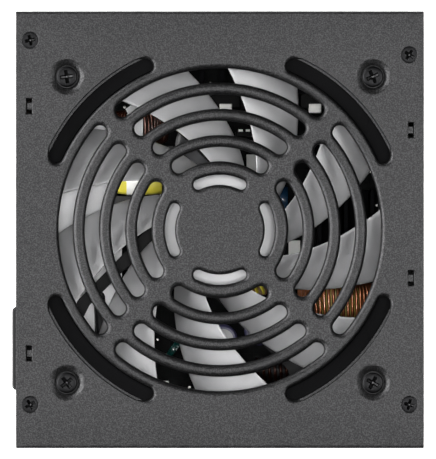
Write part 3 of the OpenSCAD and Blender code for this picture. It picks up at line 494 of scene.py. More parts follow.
@dataclass(frozen=True)
class CanSleeve(Finish):
    """Shrunk sleeve on a can, which leaves the sunk middle of the can's end bare.

    Attributes:
        top_z: Height of the rim.
        rim_depth: How far the bare end lies below the rim.
        bare: Colour of the bare end.
    """

    top_z: float = 30.0
    rim_depth: float = 0.5
    bare: Colour = (0.34, 0.34, 0.345)

    def paint(self, shader: Shader) -> None:
        """Builds the sleeve and the bare end, which is level and lies below the rim.

        Args:
            shader: Takes the nodes.
        """
        rims_up = shader.along(Axis.Z) * (1 / (self.rim_depth * MM)) - self.top_z / self.rim_depth
        facing = shader.node("ShaderNodeNewGeometry", output="Normal")
        level = shader.node("ShaderNodeSeparateXYZ", {}, {"Vector": facing}, "Z")
        near_end = shader.step(rims_up, -2.0, -1.5)
        on_rim = shader.step(rims_up, -0.6, -0.4)
        end = shader.step(level, 0.8, 0.9) * near_end * (1 - on_rim)
        wrinkle = shader.noise(3.0, 2.0, (1.0, 1.0, 0.3))
        sleeve = shader.tint(self.colour, 0.85 + wrinkle * 0.3)
        shader.dress({"Base Color": shader.mix(end, sleeve, self.bare),
                      "Metallic": end,
                      "Roughness": 0.32 + wrinkle * 0.12 + end * 0.15,
                      "Normal": shader.bump(wrinkle, 0.02)})


@dataclass(frozen=True)
class Sintered(Finish):
    """Pressed and fired or painted core: ferrite, magnet, iron powder."""

    roughness: float = 0.6
    pit_size: float = 0.35

    def paint(self, shader: Shader) -> None:
        """Builds the core from its pits and patches.

        Args:
            shader: Takes the nodes.
        """
        pit = shader.contrast(shader.noise(self.pit_size, 3.0), 0.3, 0.62)
        patch = shader.noise(4.0, 2.0)
        shader.dress({"Base Color": shader.tint(self.colour, 0.7 + pit * 0.3 + (patch - 0.5) * 0.3),
                      "Roughness": self.roughness + (patch - 0.5) * 0.3,
                      "Normal": shader.bump(pit, 0.03)})


@dataclass(frozen=True)
class Dipped(Finish):
    """Epoxy dip: a glossy skin with soft waves."""

    def paint(self, shader: Shader) -> None:
        """Builds the dip from its waves and pinholes.

        Args:
            shader: Takes the nodes.
        """
        wave = shader.noise(2.6, 1.0)
        pinhole = shader.step(shader.cells(1.1), 0.05, 0.12)
        shader.dress({"Base Color": shader.tint(self.colour, 0.85 + wave * 0.3),
                      "Roughness": 0.22 + (1 - pinhole) * 0.3,
                      "Coat Weight": 0.4,
                      "Normal": shader.bump(wave * 0.8 + pinhole * 0.2, 0.08)})


CASE_COAT = PowderCoat("case_coat", (0.0178, 0.0178, 0.0182))
SCREW_BLACK = Metal("screw_black", (0.011, 0.011, 0.0115), 0.42)
SCREW_WORN = Metal("screw_worn", (0.022, 0.022, 0.0225), 0.32)
# Painted shade: the fan frame takes a darker, duller copy of the struts' black plastic, so that it reads dark
# in the corner openings.
FAN_BLACK_SHADED = Moulded("fan_black", (0.002, 0.002, 0.0022), 0.55, 0.4, 0.012, 0.02)
STRUT_BLACK = Moulded("strut_black", (0.006, 0.006, 0.0063), 0.5, 0.4, 0.012, 0.1)
FAN_PALE = Moulded("fan_pale", (0.285, 0.285, 0.29), 0.4, 0.7, 0.006, 0.5, 0.8)
SOCKET_BLACK = Moulded("socket_black", (0.012, 0.012, 0.0125), 0.55, 0.4, 0.012, 0.3)
INLET_BLACK = Moulded("inlet_black", (0.004, 0.004, 0.0042), 0.45, 0.4, 0.012, 0.1)
ROCKER_BLACK = Moulded("rocker_black", (0.006, 0.006, 0.0063), 0.42, 0.4, 0.012, 0.1)
MARK_WHITE = Moulded("mark_white", (0.8, 0.8, 0.8), 0.5, 0.2, 0.004)
LEAD_BLACK = Moulded("lead_black", (0.014, 0.014, 0.015), 0.36, 1.2, 0.01)
LEAD_GREEN = Moulded("lead_green", (0.1, 0.34, 0.06), 0.36, 1.2, 0.01)
LEAD_YELLOW = Moulded("lead_yellow", (0.75, 0.62, 0.05), 0.36, 1.2, 0.01)
NYLON = Moulded("nylon", (0.82, 0.82, 0.79), 0.4, 0.5, 0.01)
FILM_BLACK = Moulded("film_black", (0.03, 0.03, 0.03), 0.5, 0.6)
FILM_BOX = Moulded("film_box", (0.16, 0.145, 0.1), 0.42, 0.8, 0.012, 0.3)
PHENOLIC = Moulded("phenolic", (0.22, 0.1, 0.02), 0.42, 0.6)
CHIP = Moulded("chip", (0.003, 0.003, 0.003), 0.55, 0.25, 0.02, 0.08)
FIN_BLACK = Metal("fin_black", (0.003, 0.003, 0.0034), 0.55)
STEEL = Metal("steel", (0.62, 0.62, 0.63), 0.3)
TINNED = Metal("tinned", (0.7, 0.69, 0.66), 0.34)
GILT = Metal("gilt", (0.83, 0.62, 0.28), 0.26, Axis.X)
BRONZE = Metal("bronze", (0.62, 0.4, 0.18), 0.4)
LAMINATION = Metal("lamination", (0.42, 0.42, 0.44), 0.42)
COPPER = Enamel("copper", (0.35, 0.12, 0.05))
# Painted shade: a darker copy of the same enamelled copper, for the boost choke and the filter coil.
COPPER_SHADED = Enamel("copper_dark", (0.085, 0.027, 0.015), (0.035, 0.01, 0.006))
BOARD_BLACK = SolderMask("board_black", (0.0015, 0.002, 0.002))
BOARD_GREEN = SolderMask("board_green", (0.02, 0.12, 0.05), (0.03, 0.2, 0.08))
# The baffle's film carries a painted glow: light painted into the sheet.
BAFFLE = FrostedFilm("baffle", (0.74, 0.74, 0.75))
FERRITE = Sintered("ferrite", (0.016, 0.016, 0.017))
MAGNET = Sintered("magnet", (0.045, 0.045, 0.05), 0.5)
CORE_COAT = Sintered("core_coat", (0.62, 0.5, 0.1), 0.4, 0.8)
TAPE_YELLOW = Tape("tape_yellow", (0.58, 0.51, 0.05))
TAPE_WHITE = Tape("tape_white", (0.85, 0.85, 0.82), 9.0)
DISC_BLUE = Dipped("disc_blue", (0.012, 0.05, 0.11))
DISC_GREEN = Dipped("disc_green", (0.002, 0.03, 0.026))
FUSE_BODY = Dipped("fuse_body", (0.75, 0.74, 0.68))


def low_of(node: str) -> Point:
    """Lowest corner of a node of the frame, in millimetres."""
    return tuple(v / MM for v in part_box(node)[0])


def high_of(node: str) -> Point:
    """Highest corner of a node of the frame, in millimetres."""
    return tuple(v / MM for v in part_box(node)[1])


def middle_of(node: str) -> Point:
    """Middle of a node's box, in millimetres."""
    return tuple((a + b) / 2 for a, b in zip(low_of(node), high_of(node), strict=True))


def size_of(node: str) -> Point:
    """Size of a node's box, in millimetres."""
    return tuple(b - a for a, b in zip(low_of(node), high_of(node), strict=True))


def arc(centre: Flat, radius: float, start: float, end: float, steps: int) -> list[Flat]:
    """Points on an arc.

    Args:
        centre: Its middle.
        radius: Its radius.
        start: Angle of the first point, in degrees.
        end: Angle of the last point, in degrees.
        steps: Number of chords.

    Returns:
        The points, both ends included.
    """
    angles = [math.radians(start + (end - start) * k / steps) for k in range(steps + 1)]
    return [(centre[0] + radius * math.cos(a), centre[1] + radius * math.sin(a)) for a in angles]


def turned(points: Iterable[Flat], degrees: float) -> list[Flat]:
    """Points turned round the origin."""
    c, s = math.cos(math.radians(degrees)), math.sin(math.radians(degrees))
    return [(x * c - y * s, x * s + y * c) for x, y in points]


def between(a: Flat, b: Flat, share: float) -> Flat:
    """The point at a share of the way from a to b."""
    return (a[0] + (b[0] - a[0]) * share, a[1] + (b[1] - a[1]) * share)


def rectangle(middle: Flat, half: Flat) -> list[Flat]:
    """Corners of a rectangle, from its middle and half of each side."""
    return [(middle[0] + x * half[0], middle[1] + y * half[1]) for x, y in CORNERS]


def rounded(middle: Flat, half: Flat, corner: float, steps: int) -> list[Flat]:
    """Outline of a rectangle with round corners.

    Args:
        middle: Its middle.
        half: Half of each side.
        corner: Radius of the corners.
        steps: Chords in each corner.

    Returns:
        The points, in order.
    """
    points = []
    for k, centre in enumerate(rectangle(middle, (half[0] - corner, half[1] - corner))):
        points += arc(centre, corner, 90.0 * k, 90.0 * k + 90.0, steps)
    return points


def squared(angle: float, power: int) -> float:
    """Distance of a rounded square's edge at an angle in radians, over that of the circle in it."""
    return (abs(math.cos(angle)) ** power + abs(math.sin(angle)) ** power) ** (-1 / power)


class MeshMaker:
    """Gathers the faces of one piece, in millimetres."""

    def __init__(self) -> None:
        """Starts an empty mesh."""
        self.bm = bmesh.new()

    def loop(self, points: Iterable[Sequence[float]]) -> Row:
        """Adds points."""
        return [self.bm.verts.new(p) for p in points]

    def band(self, first: Row, second: Row, closed: bool = True, paint: Paint | None = None) -> None:
        """Joins two rows of points by faces.

        Args:
            first: One row.
            second: The other, with as many points.
            closed: Whether the rows are loops.
            paint: Gives each face's material by its place in the row.
        """
        count = len(first)
        for i in range(count if closed else count - 1):
            k = (i + 1) % count
            face = self.bm.faces.new((first[i], first[k], second[k], second[i]))
            face.material_index = paint(i) if paint else 0

    def bands(self, rows: Sequence[Row], closed: bool = True, paint: Paint | None = None) -> None:
        """Joins each row of points to the next."""
        for first, second in pairwise(rows):
            self.band(first, second, closed, paint)

    def cap(self, loop: Row) -> None:
        """Closes a loop with one face."""
        self.bm.faces.new(loop)

    def solid(self, rows: Sequence[Row], paint: Paint | None = None) -> None:
        """Joins loops to a closed solid with a flat face at each end.

        Args:
            rows: The loops, from end to end.
            paint: Gives the material of each face round it.
        """
        self.bands(rows, True, paint)
        self.cap(rows[0])
        self.cap(rows[-1])

    def edges_of(self, loop: Row) -> list[bmesh.types.BMEdge]:
        """Edges round a loop, added where they are missing."""
        pairs = zip(loop, loop[1:] + loop[:1], strict=True)
        return [self.bm.edges.get(pair) or self.bm.edges.new(pair) for pair in pairs]

    def fill(self, loops: Iterable[Row]) -> None:
        """Fills a flat face that has an outer loop and holes."""
        edges = [edge for loop in loops for edge in self.edges_of(loop)]
        bmesh.ops.triangle_fill(self.bm, use_beauty=True, edges=edges)

    def lathe(self, section: Sequence[Flat], steps: int, place: Matrix | None = None) -> None:
        """Turns a closed section round Z.

        Args:
            section: Radii and heights round the section; a radius of 0 lies on the axis.
            steps: Faces round the axis.
            place: Where the turned piece goes.
        """
        place = place or Matrix.Identity(4)
        rows = []
        for r, z in section:
            ring = [(x, y, z) for x, y in arc((0.0, 0.0), r, 0.0, 360.0, steps)[:-1]]
            rows.append(self.loop(place @ Vector(p) for p in ring))
        self.bands([*rows, rows[0]] if section[0][0] > 0 else rows)

    def tube(self, path: Sequence[Vector], radius: float, sides: int, paint: Paint | None = None) -> None:
        """Sweeps a round wire along a path, without twist.

        Args:
            path: Points along its middle.
            radius: Its radius.
            sides: Faces round it.
            paint: Gives the material of each face round it.
        """
        ways = [(b - a).normalized() for a, b in pairwise(path)]
        ways = [ways[0], *((a + b).normalized() for a, b in pairwise(ways)), ways[-1]]
        side = ways[0].orthogonal().normalized()
        rows = []
        for point, way in zip(path, ways, strict=True):
            side = (side - way * side.dot(way)).normalized()
            other = way.cross(side)
            ring = arc((0.0, 0.0), radius, 0.0, 360.0, sides)[:-1]
            rows.append(self.loop(point + side * x + other * y for x, y in ring))
        self.solid(rows, paint)

    def make(self, name: str, finishes: Sequence[Finish], sharp: float = 35.0) -> bpy.types.Object:
        """Turns what was gathered into an object.

        Args:
            name: The piece's name.
            finishes: Its finishes, in the order of its faces' materials.
            sharp: Angle past which an edge stays sharp, in degrees.

        Returns:
            The object, in the frame, in metres.
        """
        bmesh.ops.remove_doubles(self.bm, verts=self.bm.verts[:], dist=1e-4)
        bmesh.ops.dissolve_degenerate(self.bm, edges=self.bm.edges[:], dist=1e-5)
        bmesh.ops.recalc_face_normals(self.bm, faces=self.bm.faces[:])
        bmesh.ops.scale(self.bm, vec=(MM, MM, MM), verts=self.bm.verts[:])
        mesh = bpy.data.meshes.new(name)
        self.bm.to_mesh(mesh)
        self.bm.free()
        mesh.shade_smooth()
        mesh.set_sharp_from_angle(angle=math.radians(sharp))
        for finish in finishes:
            mesh.materials.append(finish.make())
        made = bpy.data.objects.new(name, mesh)
        bpy.context.scene.collection.objects.link(made)
        return made


def hand_over(piece: bpy.types.Object, body: Body, slot: str, *nodes: str) -> bpy.types.Object:
    """Gives a piece to the frame.

    Args:
        piece: The finished piece.
        body: The body that it rides on.
        slot: Not used.
        nodes: Nodes of the frame that it stands for.

    Returns:
        The piece.
    """
    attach(piece, body.value)
    if nodes:
        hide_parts(*nodes)
    return piece


class SubAssembly(ABC):
    """Pieces that are built and dressed together."""

    @abstractmethod
    def build(self) -> list[bpy.types.Object]:
        """Builds the pieces and hands them to the frame."""


@dataclass(frozen=True)
class Opening:
    """A hole in the cover's top.

    Attributes:
        outline: Gives its outline at an outward offset.
        section: Offsets and drops below the top, from the upper face round to the lower one.
    """

    outline: Outline
    section: list[Flat]


@dataclass
class Grille:
    """The stamped openings in the cover's top, with edges rolled down.

    Attributes:
        first_ring_r: Inner radius of the first ring of slots.
        spoke_w: Steel left between the ends of two slots.
        hub_slot_r: Inner radius of the hub's slots.
        corner_r: Inner radius of the corner openings.
        corner_limit: How far a corner opening reaches along X and Y.
        corner_outer_share: Width of a corner's outer roll, as a share of the inner one.
        rolled_wall: Straight stretch below a roll.
        ledge: Width of the ledge in a corner opening.
        rest: Flat rim round an opening, where it joins the top.
    """

    ring_count: int = 4
    first_ring_r: float = 23.5
    ring_pitch: float = 9.0
    slot_w: float = 4.9
    spoke_w: float = 6.1
    hub_slot_r: float = 15.4
    hub_slot_w: float = 3.5
    hub_spoke_w: float = 8.0
    corner_r: float = 59.1
    corner_w: float = 5.9
    corner_limit: float = 58.5
    corner_end_r: float = 2.4
    sheet: float = 1.0
    slot_roll: float = 1.75
    hub_roll: float = 1.4
    corner_roll: float = 1.4
    corner_outer_share: float = 0.2
    rolled_wall: float = 0.3
    ledge: float = 0.7
    ledge_fall: float = 0.05
    rest: float = 0.15
    chord: float = 1.5
    cap_steps: int = 14
    roll_steps: int = 8
    under_steps: int = 3

    def rolled(self, roll: float) -> list[Flat]:
        """Section of an edge that is rolled down.

        Args:
            roll: Outer radius of the roll.

        Returns:
            Offsets and drops, from the upper face to the lower one.
        """
        outer = arc((roll, roll), roll, 90.0, 180.0, self.roll_steps)
        inner = arc((roll, roll), roll - self.sheet, 180.0, 90.0, self.under_steps)
        lip = [(0.0, roll + self.rolled_wall), (self.sheet, roll + self.rolled_wall)]
        curve = [(x, 2 * roll - y) for x, y in outer] + lip + [(x, 2 * roll - y) for x, y in inner]
        return [(roll + self.rest, 0.0), *curve, (roll + self.rest, self.sheet)]

    def ledged(self, roll: float) -> list[Flat]:
        """Section of an edge that is rolled down to a narrow ledge.

        Args:
            roll: Outer radius of the roll.

        Returns:
            Offsets and drops, from the upper face to the lower one.
        """
        foot = roll + self.rolled_wall
        under = foot + self.sheet / 2
        curve = [(x, 2 * roll - y) for x, y in arc((roll, roll), roll, 90.0, 180.0, self.roll_steps)]
        step = [(0.0, foot), (-self.ledge, foot + self.ledge_fall), (-self.ledge, under), (self.sheet, under),
                (self.sheet, roll)]
        return [(roll + self.rest, 0.0), *curve, *step, (roll + self.rest, self.sheet)]

    def arc_slot(self, r: float, w: float, steel: float, turn: float) -> Outline:
        """Outline of an arc slot with round ends.

        Args:
            r: Radius of its middle line.
            w: Its width.
            steel: Steel left between its end and the next slot's.
            turn: Angle of its middle, in degrees.

        Returns:
            The outline for any offset.
        """
        half = 45.0 - math.degrees(math.asin((steel + w) / 2 / r))
        steps = max(8, round(2 * math.radians(half) * r / self.chord))

        def outline(offset: float) -> list[Flat]:
            """Gives the slot's edge.

            Args:
                offset: How far out from the slot.

            Returns:
                The points, in order.
            """
            h = w / 2 + offset
            far, near = arc((0.0, 0.0), r, half, -half, 1)
            points = arc((0.0, 0.0), r + h, -half, half, steps)[:-1]
            points += arc(far, h, half, half + 180.0, self.cap_steps)[:-1]
            points += arc((0.0, 0.0), r - h, half, -half, steps)[:-1]
            points += arc(near, h, 180.0 - half, 360.0 - half, self.cap_steps)[:-1]
            return turned(points, turn)

        return outline

    def corner_slot(self, turn: float) -> Outline:
        """Outline of a long corner opening with straight outer ends.

        Args:
            turn: Angle of its quadrant, in degrees.

        Returns:
            The outline for any offset.
        """
        far = self.corner_limit - self.corner_end_r
        near = math.sqrt((self.corner_r + self.corner_end_r) ** 2 - far ** 2)
        lean = math.degrees(math.atan2(far, near))
        steps = round(math.radians(2 * lean - 90.0) * self.corner_r / self.chord)

        def outline(offset: float) -> list[Flat]:
            """Gives the opening's edge: a roll is narrow and a ledge stands on the outer side only.

            Args:
                offset: How far out from the opening; a ledge is under 0.

            Returns:
                The points, in order.
            """
            outward = offset * self.corner_outer_share if offset > 0 else offset
            offset = max(offset, 0.0)
            limit = self.corner_limit + max(outward, 0.0)
            outer_r = self.corner_r + self.corner_w + outward
            start = math.degrees(math.acos(limit / outer_r))
            end_r = self.corner_end_r + offset
            points = arc((near, far), end_r, 90.0, 180.0 + lean, self.cap_steps)[:-1]
            points += arc((0.0, 0.0), self.corner_r - offset, lean, 90.0 - lean, steps)[:-1]
            points += arc((far, near), end_r, 270.0 - lean, 360.0, self.cap_steps)
            points += arc((0.0, 0.0), outer_r, start, 90.0 - start, steps)
            return turned(points, turn)

        return outline

    def openings(self) -> list[Opening]:
        """Lays out the slots, the hub's slots and the corner openings.

        Returns:
            All the grille's openings.
        """
        found = []
        for turn in QUARTERS:
            for ring in range(self.ring_count):
                r = self.first_ring_r + self.slot_w / 2 + ring * self.ring_pitch
                slot = self.arc_slot(r, self.slot_w, self.spoke_w, turn)
                found.append(Opening(slot, self.rolled(self.slot_roll)))
            hub_r = self.hub_slot_r + self.hub_slot_w / 2
            hub_slot = self.arc_slot(hub_r, self.hub_slot_w, self.hub_spoke_w, turn)
            found.append(Opening(hub_slot, self.rolled(self.hub_roll)))
            found.append(Opening(self.corner_slot(turn), self.ledged(self.corner_roll)))
        return found


@dataclass
class Cover(SubAssembly):
    """Folded cover: a flat top with the grille, two bends and two side walls.

    Attributes:
        fan_hole: Distance of the fan's screws from the middle, along X and Y.
        screw_spots: Middles of the cover's screws.
        tab_spots: Middles of the lanced tabs.
        tab_slot: Size of a tab's slot.
        tab_sink: How far a tab's root lies below the top.
        tab_drop: How much lower its tip is.
        tab_reach: Place of its tip, as a share of half of the slot.
        tab_lip: Offsets and drops of the drawn-in edge of a tab's slot.
        tab_rest: Flat rim round that edge.
        dimple_curve: Power of the dimple's slope; 1 is a cone.
        dimple_lean: How much wider the slope's lower face is.
        dimple_land: Step from the slope's foot to the screw's seat.
        dimple_rest: Flat rim round a dimple, on the upper and the lower face.
        sink_edge: Width and depth of the edge of a sunk hole.
        sink_rim: Radius of the flat rim round it.
    """

    grille: Grille = field(default_factory=Grille)
    sheet: float = 1.0
    bend_r: float = 1.1
    cut_bevel: float = 0.2
    bend_steps: int = 8
    fan_hole: float = 52.5
    screw_spots: tuple[Flat, ...] = ((-65.0, 65.0), (65.0, 60.0), (-65.0, -60.0), (65.0, -60.0))
    tab_spots: tuple[Flat, ...] = ((-65.4, 42.4), (-65.4, -42.4), (65.6, 34.2), (65.6, -16.6))
    tab_slot: Flat = (1.9, 5.1)
    tab_w: float = 2.2
    tab_sink: float = 0.4
    tab_drop: float = 0.3
    tab_reach: float = 0.7
    tab_root: float = 0.2
    tab_lip: tuple[Flat, ...] = ((0.5, 0.0), (0.25, 0.07), (0.07, 0.25), (0.0, 0.5))
    tab_rest: float = 0.15
    dimple_rim: float = 6.15
    dimple_floor: float = 3.95
    dimple_hole: float = 2.75
    dimple_depth: float = 1.3
    dimple_seat: float = 1.6
    dimple_curve: float = 1.3
    dimple_lean: float = 0.3
    dimple_land: float = 0.1
    dimple_rest: Flat = (0.4, 0.5)
    dimple_steps: int = 12
    sink_r: float = 2.96
    sink_hole_r: float = 1.9
    sink_edge: Flat = (0.1, 0.06)
    sink_rim: float = 3.2
    hole_sides: int = 48

    def circle(self, spot: Flat) -> Outline:
        """Outline of a round hole at a spot; the offset is its radius."""
        return lambda offset: arc(spot, offset, 0.0, 360.0, self.hole_sides)[:-1]

    def slit(self, spot: Flat) -> Outline:
        """Outline of a small slot with sharp corners, at a spot."""
        w, h = self.tab_slot[0] / 2, self.tab_slot[1] / 2
        return lambda offset: rectangle(spot, (w + offset, h + offset))

    def fan_holes(self) -> list[Flat]:
        """Middles of the fan's screws."""
        return [(x * self.fan_hole, y * self.fan_hole) for x in (-1, 1) for y in (-1, 1)]

    def dimple(self) -> list[Flat]:
        """Section of a pressed dimple with its screw hole.

        Returns:
            Radii and drops, from the upper face to the lower one.
        """
        rim, floor, hole, seat = self.dimple_rim, self.dimple_floor, self.dimple_hole, self.dimple_seat
        shares = [k / self.dimple_steps for k in range(self.dimple_steps + 1)]
        slope = [(rim + (floor - rim) * t, self.dimple_depth * t ** self.dimple_curve) for t in shares]
        under = [(r + self.dimple_lean, drop + self.sheet) for r, drop in reversed(slope)]
        mouth = [(floor - self.dimple_land, seat), (hole, seat), (hole, seat + self.sheet)]
        upper, lower = self.dimple_rest
        return [(rim + upper, 0.0), *slope, *mouth, *under, (rim + lower, self.sheet)]

    def sink(self) -> list[Flat]:
        """Section of a hole that is sunk for a screw's head.

        Returns:
            Radii and drops, from the upper face to the lower one.
        """
        width, depth = self.sink_edge
        return [(self.sink_rim, 0.0), (self.sink_r, 0.0), (self.sink_r - width, depth),
                (self.sink_hole_r, self.sheet), (self.sink_rim, self.sheet)]

    def punched(self) -> list[Flat]:
        """Section of a tab's slot, its upper edge drawn in.

        Returns:
            Offsets and drops, from the upper face to the lower one.
        """
        rim = self.tab_lip[0][0] + self.tab_rest
        return [(rim, 0.0), *self.tab_lip, (0.0, self.sheet), (rim, self.sheet)]

    def openings(self) -> list[Opening]:
        """Lays out every hole in the top.

        Returns:
            The holes.
        """
        found = self.grille.openings()
        found += [Opening(self.circle(spot), self.dimple()) for spot in self.fan_holes()]
        found += [Opening(self.circle(spot), self.sink()) for spot in self.screw_spots]
        found += [Opening(self.slit(spot), self.punched()) for spot in self.tab_spots]
        return found

    def fold(self, drop: float, half_y: float, top: float) -> list[Flat]:
        """One face of the folded sheet, across the width.

        Args:
            drop: Depth of the face below the sheet's outer face.
            half_y: Half of the cover's width.
            top: Height of the cover's top.

        Returns:
            Y and Z from the foot of one wall over the top to the other's foot.
        """
        mid = half_y - self.bend_r
        right = arc((mid, top - self.bend_r), self.bend_r - drop, 90.0, 0.0, self.bend_steps)
        right.append((half_y - drop, 0.0))
        return [(-y, z) for y, z in reversed(right)] + right

    def shell(self, maker: MeshMaker) -> tuple[Row, Row]:
        """Builds the walls, the bends and the cut edges.

        Args:
            maker: Takes the faces.

        Returns:
            Corners of the top's upper and lower faces, which are left open.
        """
        half_x, half_y, top = high_of("cover_shell")
        outer, inner = self.fold(0.0, half_y, top), self.fold(self.sheet, half_y, top)
        flat = len(outer) // 2 - 1
        corners = []
        rims = []
        for face, back in ((outer, inner), (inner, outer)):
            rows = []
            for x, inset in ((-half_x, self.cut_bevel), (self.cut_bevel - half_x, 0.0),
                             (half_x - self.cut_bevel, 0.0), (half_x, self.cut_bevel)):
                line = [between(p, q, inset / self.sheet) for p, q in zip(face, back, strict=True)]
                rows.append(maker.loop((x, y, z) for y, z in line))
            maker.band(rows[0], rows[1], False)
            maker.band(rows[2], rows[3], False)
            for part in (slice(0, flat + 1), slice(flat + 1, None)):
                maker.band(rows[1][part], rows[2][part], False)
            corners.append([rows[1][flat], rows[2][flat], rows[2][flat + 1], rows[1][flat + 1]])
            rims.append(rows)
        for end in (0, -1):
            maker.band(rims[0][end], rims[1][end], False)
            maker.band([r[end] for r in rims[0]], [r[end] for r in rims[1]], False)
        return corners[0], corners[1]

    def tongue(self, maker: MeshMaker, spot: Flat) -> None:
        """Adds the bent tongue in a tab slot.

        Args:
            maker: Takes the faces.
            spot: Middle of the slot.
        """
        top = high_of("cover_shell")[2]
        inward = -math.copysign(1.0, spot[0])
        edge = inward * self.tab_slot[0] / 2
        root, tip = edge + inward * self.tab_root, -self.tab_reach * edge
        low = self.tab_sink + self.tab_drop
        section = [(root, -self.sheet), (root, -self.tab_sink), (edge, -self.tab_sink), (tip, -low),
                   (tip, -low - self.sheet), (edge, -self.sheet - self.tab_drop)]
        sides = [spot[1] + s * self.tab_w / 2 for s in (-1, 1)]
        maker.solid([maker.loop((spot[0] + x, y, top + z) for x, z in section) for y in sides])

    def build(self) -> list[bpy.types.Object]:
        """Builds the cover as one piece.

        Returns:
            The cover.
        """
        maker = MeshMaker()
        top = high_of("cover_shell")[2]
        upper, lower = self.shell(maker)
        uppers, lowers = [upper], [lower]
        for opening in self.openings():
            rows = [maker.loop((x, y, top - drop) for x, y in opening.outline(offset))
                    for offset, drop in opening.section]
            maker.bands(rows)
            uppers.append(rows[0])
            lowers.append(rows[-1])
        maker.fill(uppers)
        maker.fill(lowers)
        for spot in self.tab_spots:
            self.tongue(maker, spot)
        piece = maker.make("cover", [CASE_COAT], 40.0)
        return [hand_over(piece, Body.CASE, "case_coat", "cover_shell")]


@dataclass
class CrossScrews(SubAssembly):
    """Cross-head screws of one size, as one piece.

    Attributes:
        name: Name of the piece.
        node: The node that it stands for.
        spots: Middles of the heads.
        seat_z: Height of a head's seat.
        head: Shape of the head.
        head_r: Radius of the head.
        head_h: Height of the head.
        shank_r: Radius of the shank.
        length: Length of the shank below the seat.
        recess_w: Width of the cross across its wings.
        recess_depth: Depth of the cross.
        turns: Angle that each screw was driven to, in degrees.
        recess_edge: Width of the worn edge round the cross.
    """

    name: str
    node: str
    spots: Sequence[Flat]
    seat_z: float
    head: Head
    head_r: float
    head_h: float
    shank_r: float
    length: float
    recess_w: float
    recess_depth: float
    turns: Sequence[float]
    recess_edge: float = 0.16
    sides: int = 40

    def section(self) -> list[Flat]:
        """Section of the screw.

        Returns:
            Radii and heights, from the middle of its head down to its tip.
        """
        r, h = self.head_r, self.head_h
        if self.head is Head.PAN:
            crown = [(0.0, h), (0.6 * r, h - 0.02), (0.8 * r, h - 0.08), (0.9 * r, h - 0.2),
                     (0.97 * r, h - 0.45), (r, h - 0.8), (r, 0.12), (r - 0.12, 0.0)]
        else:
            crown = [(0.0, h), (0.9 * r, h), (0.97 * r, h - 0.05), (r, h - 0.14), (self.shank_r + 0.3, 0.0)]
        tip = [(self.shank_r, 0.0), (self.shank_r, 0.5 - self.length), (self.shank_r - 0.5, -self.length)]
        return [*crown, *tip, (0.0, -self.length)]

    def cutter(self) -> bpy.types.Object:
        """Makes the tapered cross that cuts the recess.

        Returns:
            The cutter, over a seat at the origin.
        """
        maker = MeshMaker()
        for turn in QUARTERS[:2]:
            rows = []
            for lift, grow in ((0.2, 0.2 + self.recess_edge), (-self.recess_edge, 0.0),
                               (-0.4 * self.recess_depth, -0.06 * self.recess_w),
                               (-self.recess_depth, -0.44 * self.recess_w)):
                long, wide = self.recess_w / 2 + grow, max(self.recess_w / 8 + grow, self.recess_w / 14)
                ring = turned(rectangle((0.0, 0.0), (long, wide)), turn)
                rows.append(maker.loop((x, y, self.head_h + lift) for x, y in ring))
            maker.solid(rows)
        return maker.make(self.name + "_cutter", [SCREW_WORN])

    def template(self) -> bpy.types.Mesh:
        """Makes one screw with its recess cut.

        Returns:
            The screw, its shank down and its seat at the origin.
        """
        maker = MeshMaker()
        maker.lathe(self.section(), self.sides)
        blank = maker.make(self.name + "_blank", [SCREW_BLACK])
        cutter = self.cutter()
        cut = blank.modifiers.new("recess", "BOOLEAN")
        cut.object = cutter
        cut.solver = "EXACT"
        cut.material_mode = "TRANSFER"
        cut.use_self = True
        shown = blank.evaluated_get(bpy.context.evaluated_depsgraph_get())
        mesh = bpy.data.meshes.new_from_object(shown)
        bpy.data.objects.remove(blank)
        bpy.data.objects.remove(cutter)
        return mesh

    def build(self) -> list[bpy.types.Object]:
        """Sets the screws at their spots, the recess showing worn metal.

        Returns:
            The screws, as one piece.
        """
        mesh = self.template()
        maker = MeshMaker()
        for (x, y), turn in zip(self.spots, self.turns, strict=True):
            before = len(maker.bm.verts)
            maker.bm.from_mesh(mesh)
            maker.bm.verts.ensure_lookup_table()
            place = Matrix.Translation((x, y, self.seat_z)) @ Matrix.Rotation(math.radians(turn), 4, "Z")
            for vert in maker.bm.verts[before:]:
                vert.co = place @ (vert.co / MM)
        bpy.data.meshes.remove(mesh)
        piece = maker.make(self.name, [SCREW_BLACK, SCREW_WORN], 30.0)
        return [hand_over(piece, Body.CASE, "black_screw", self.node)]


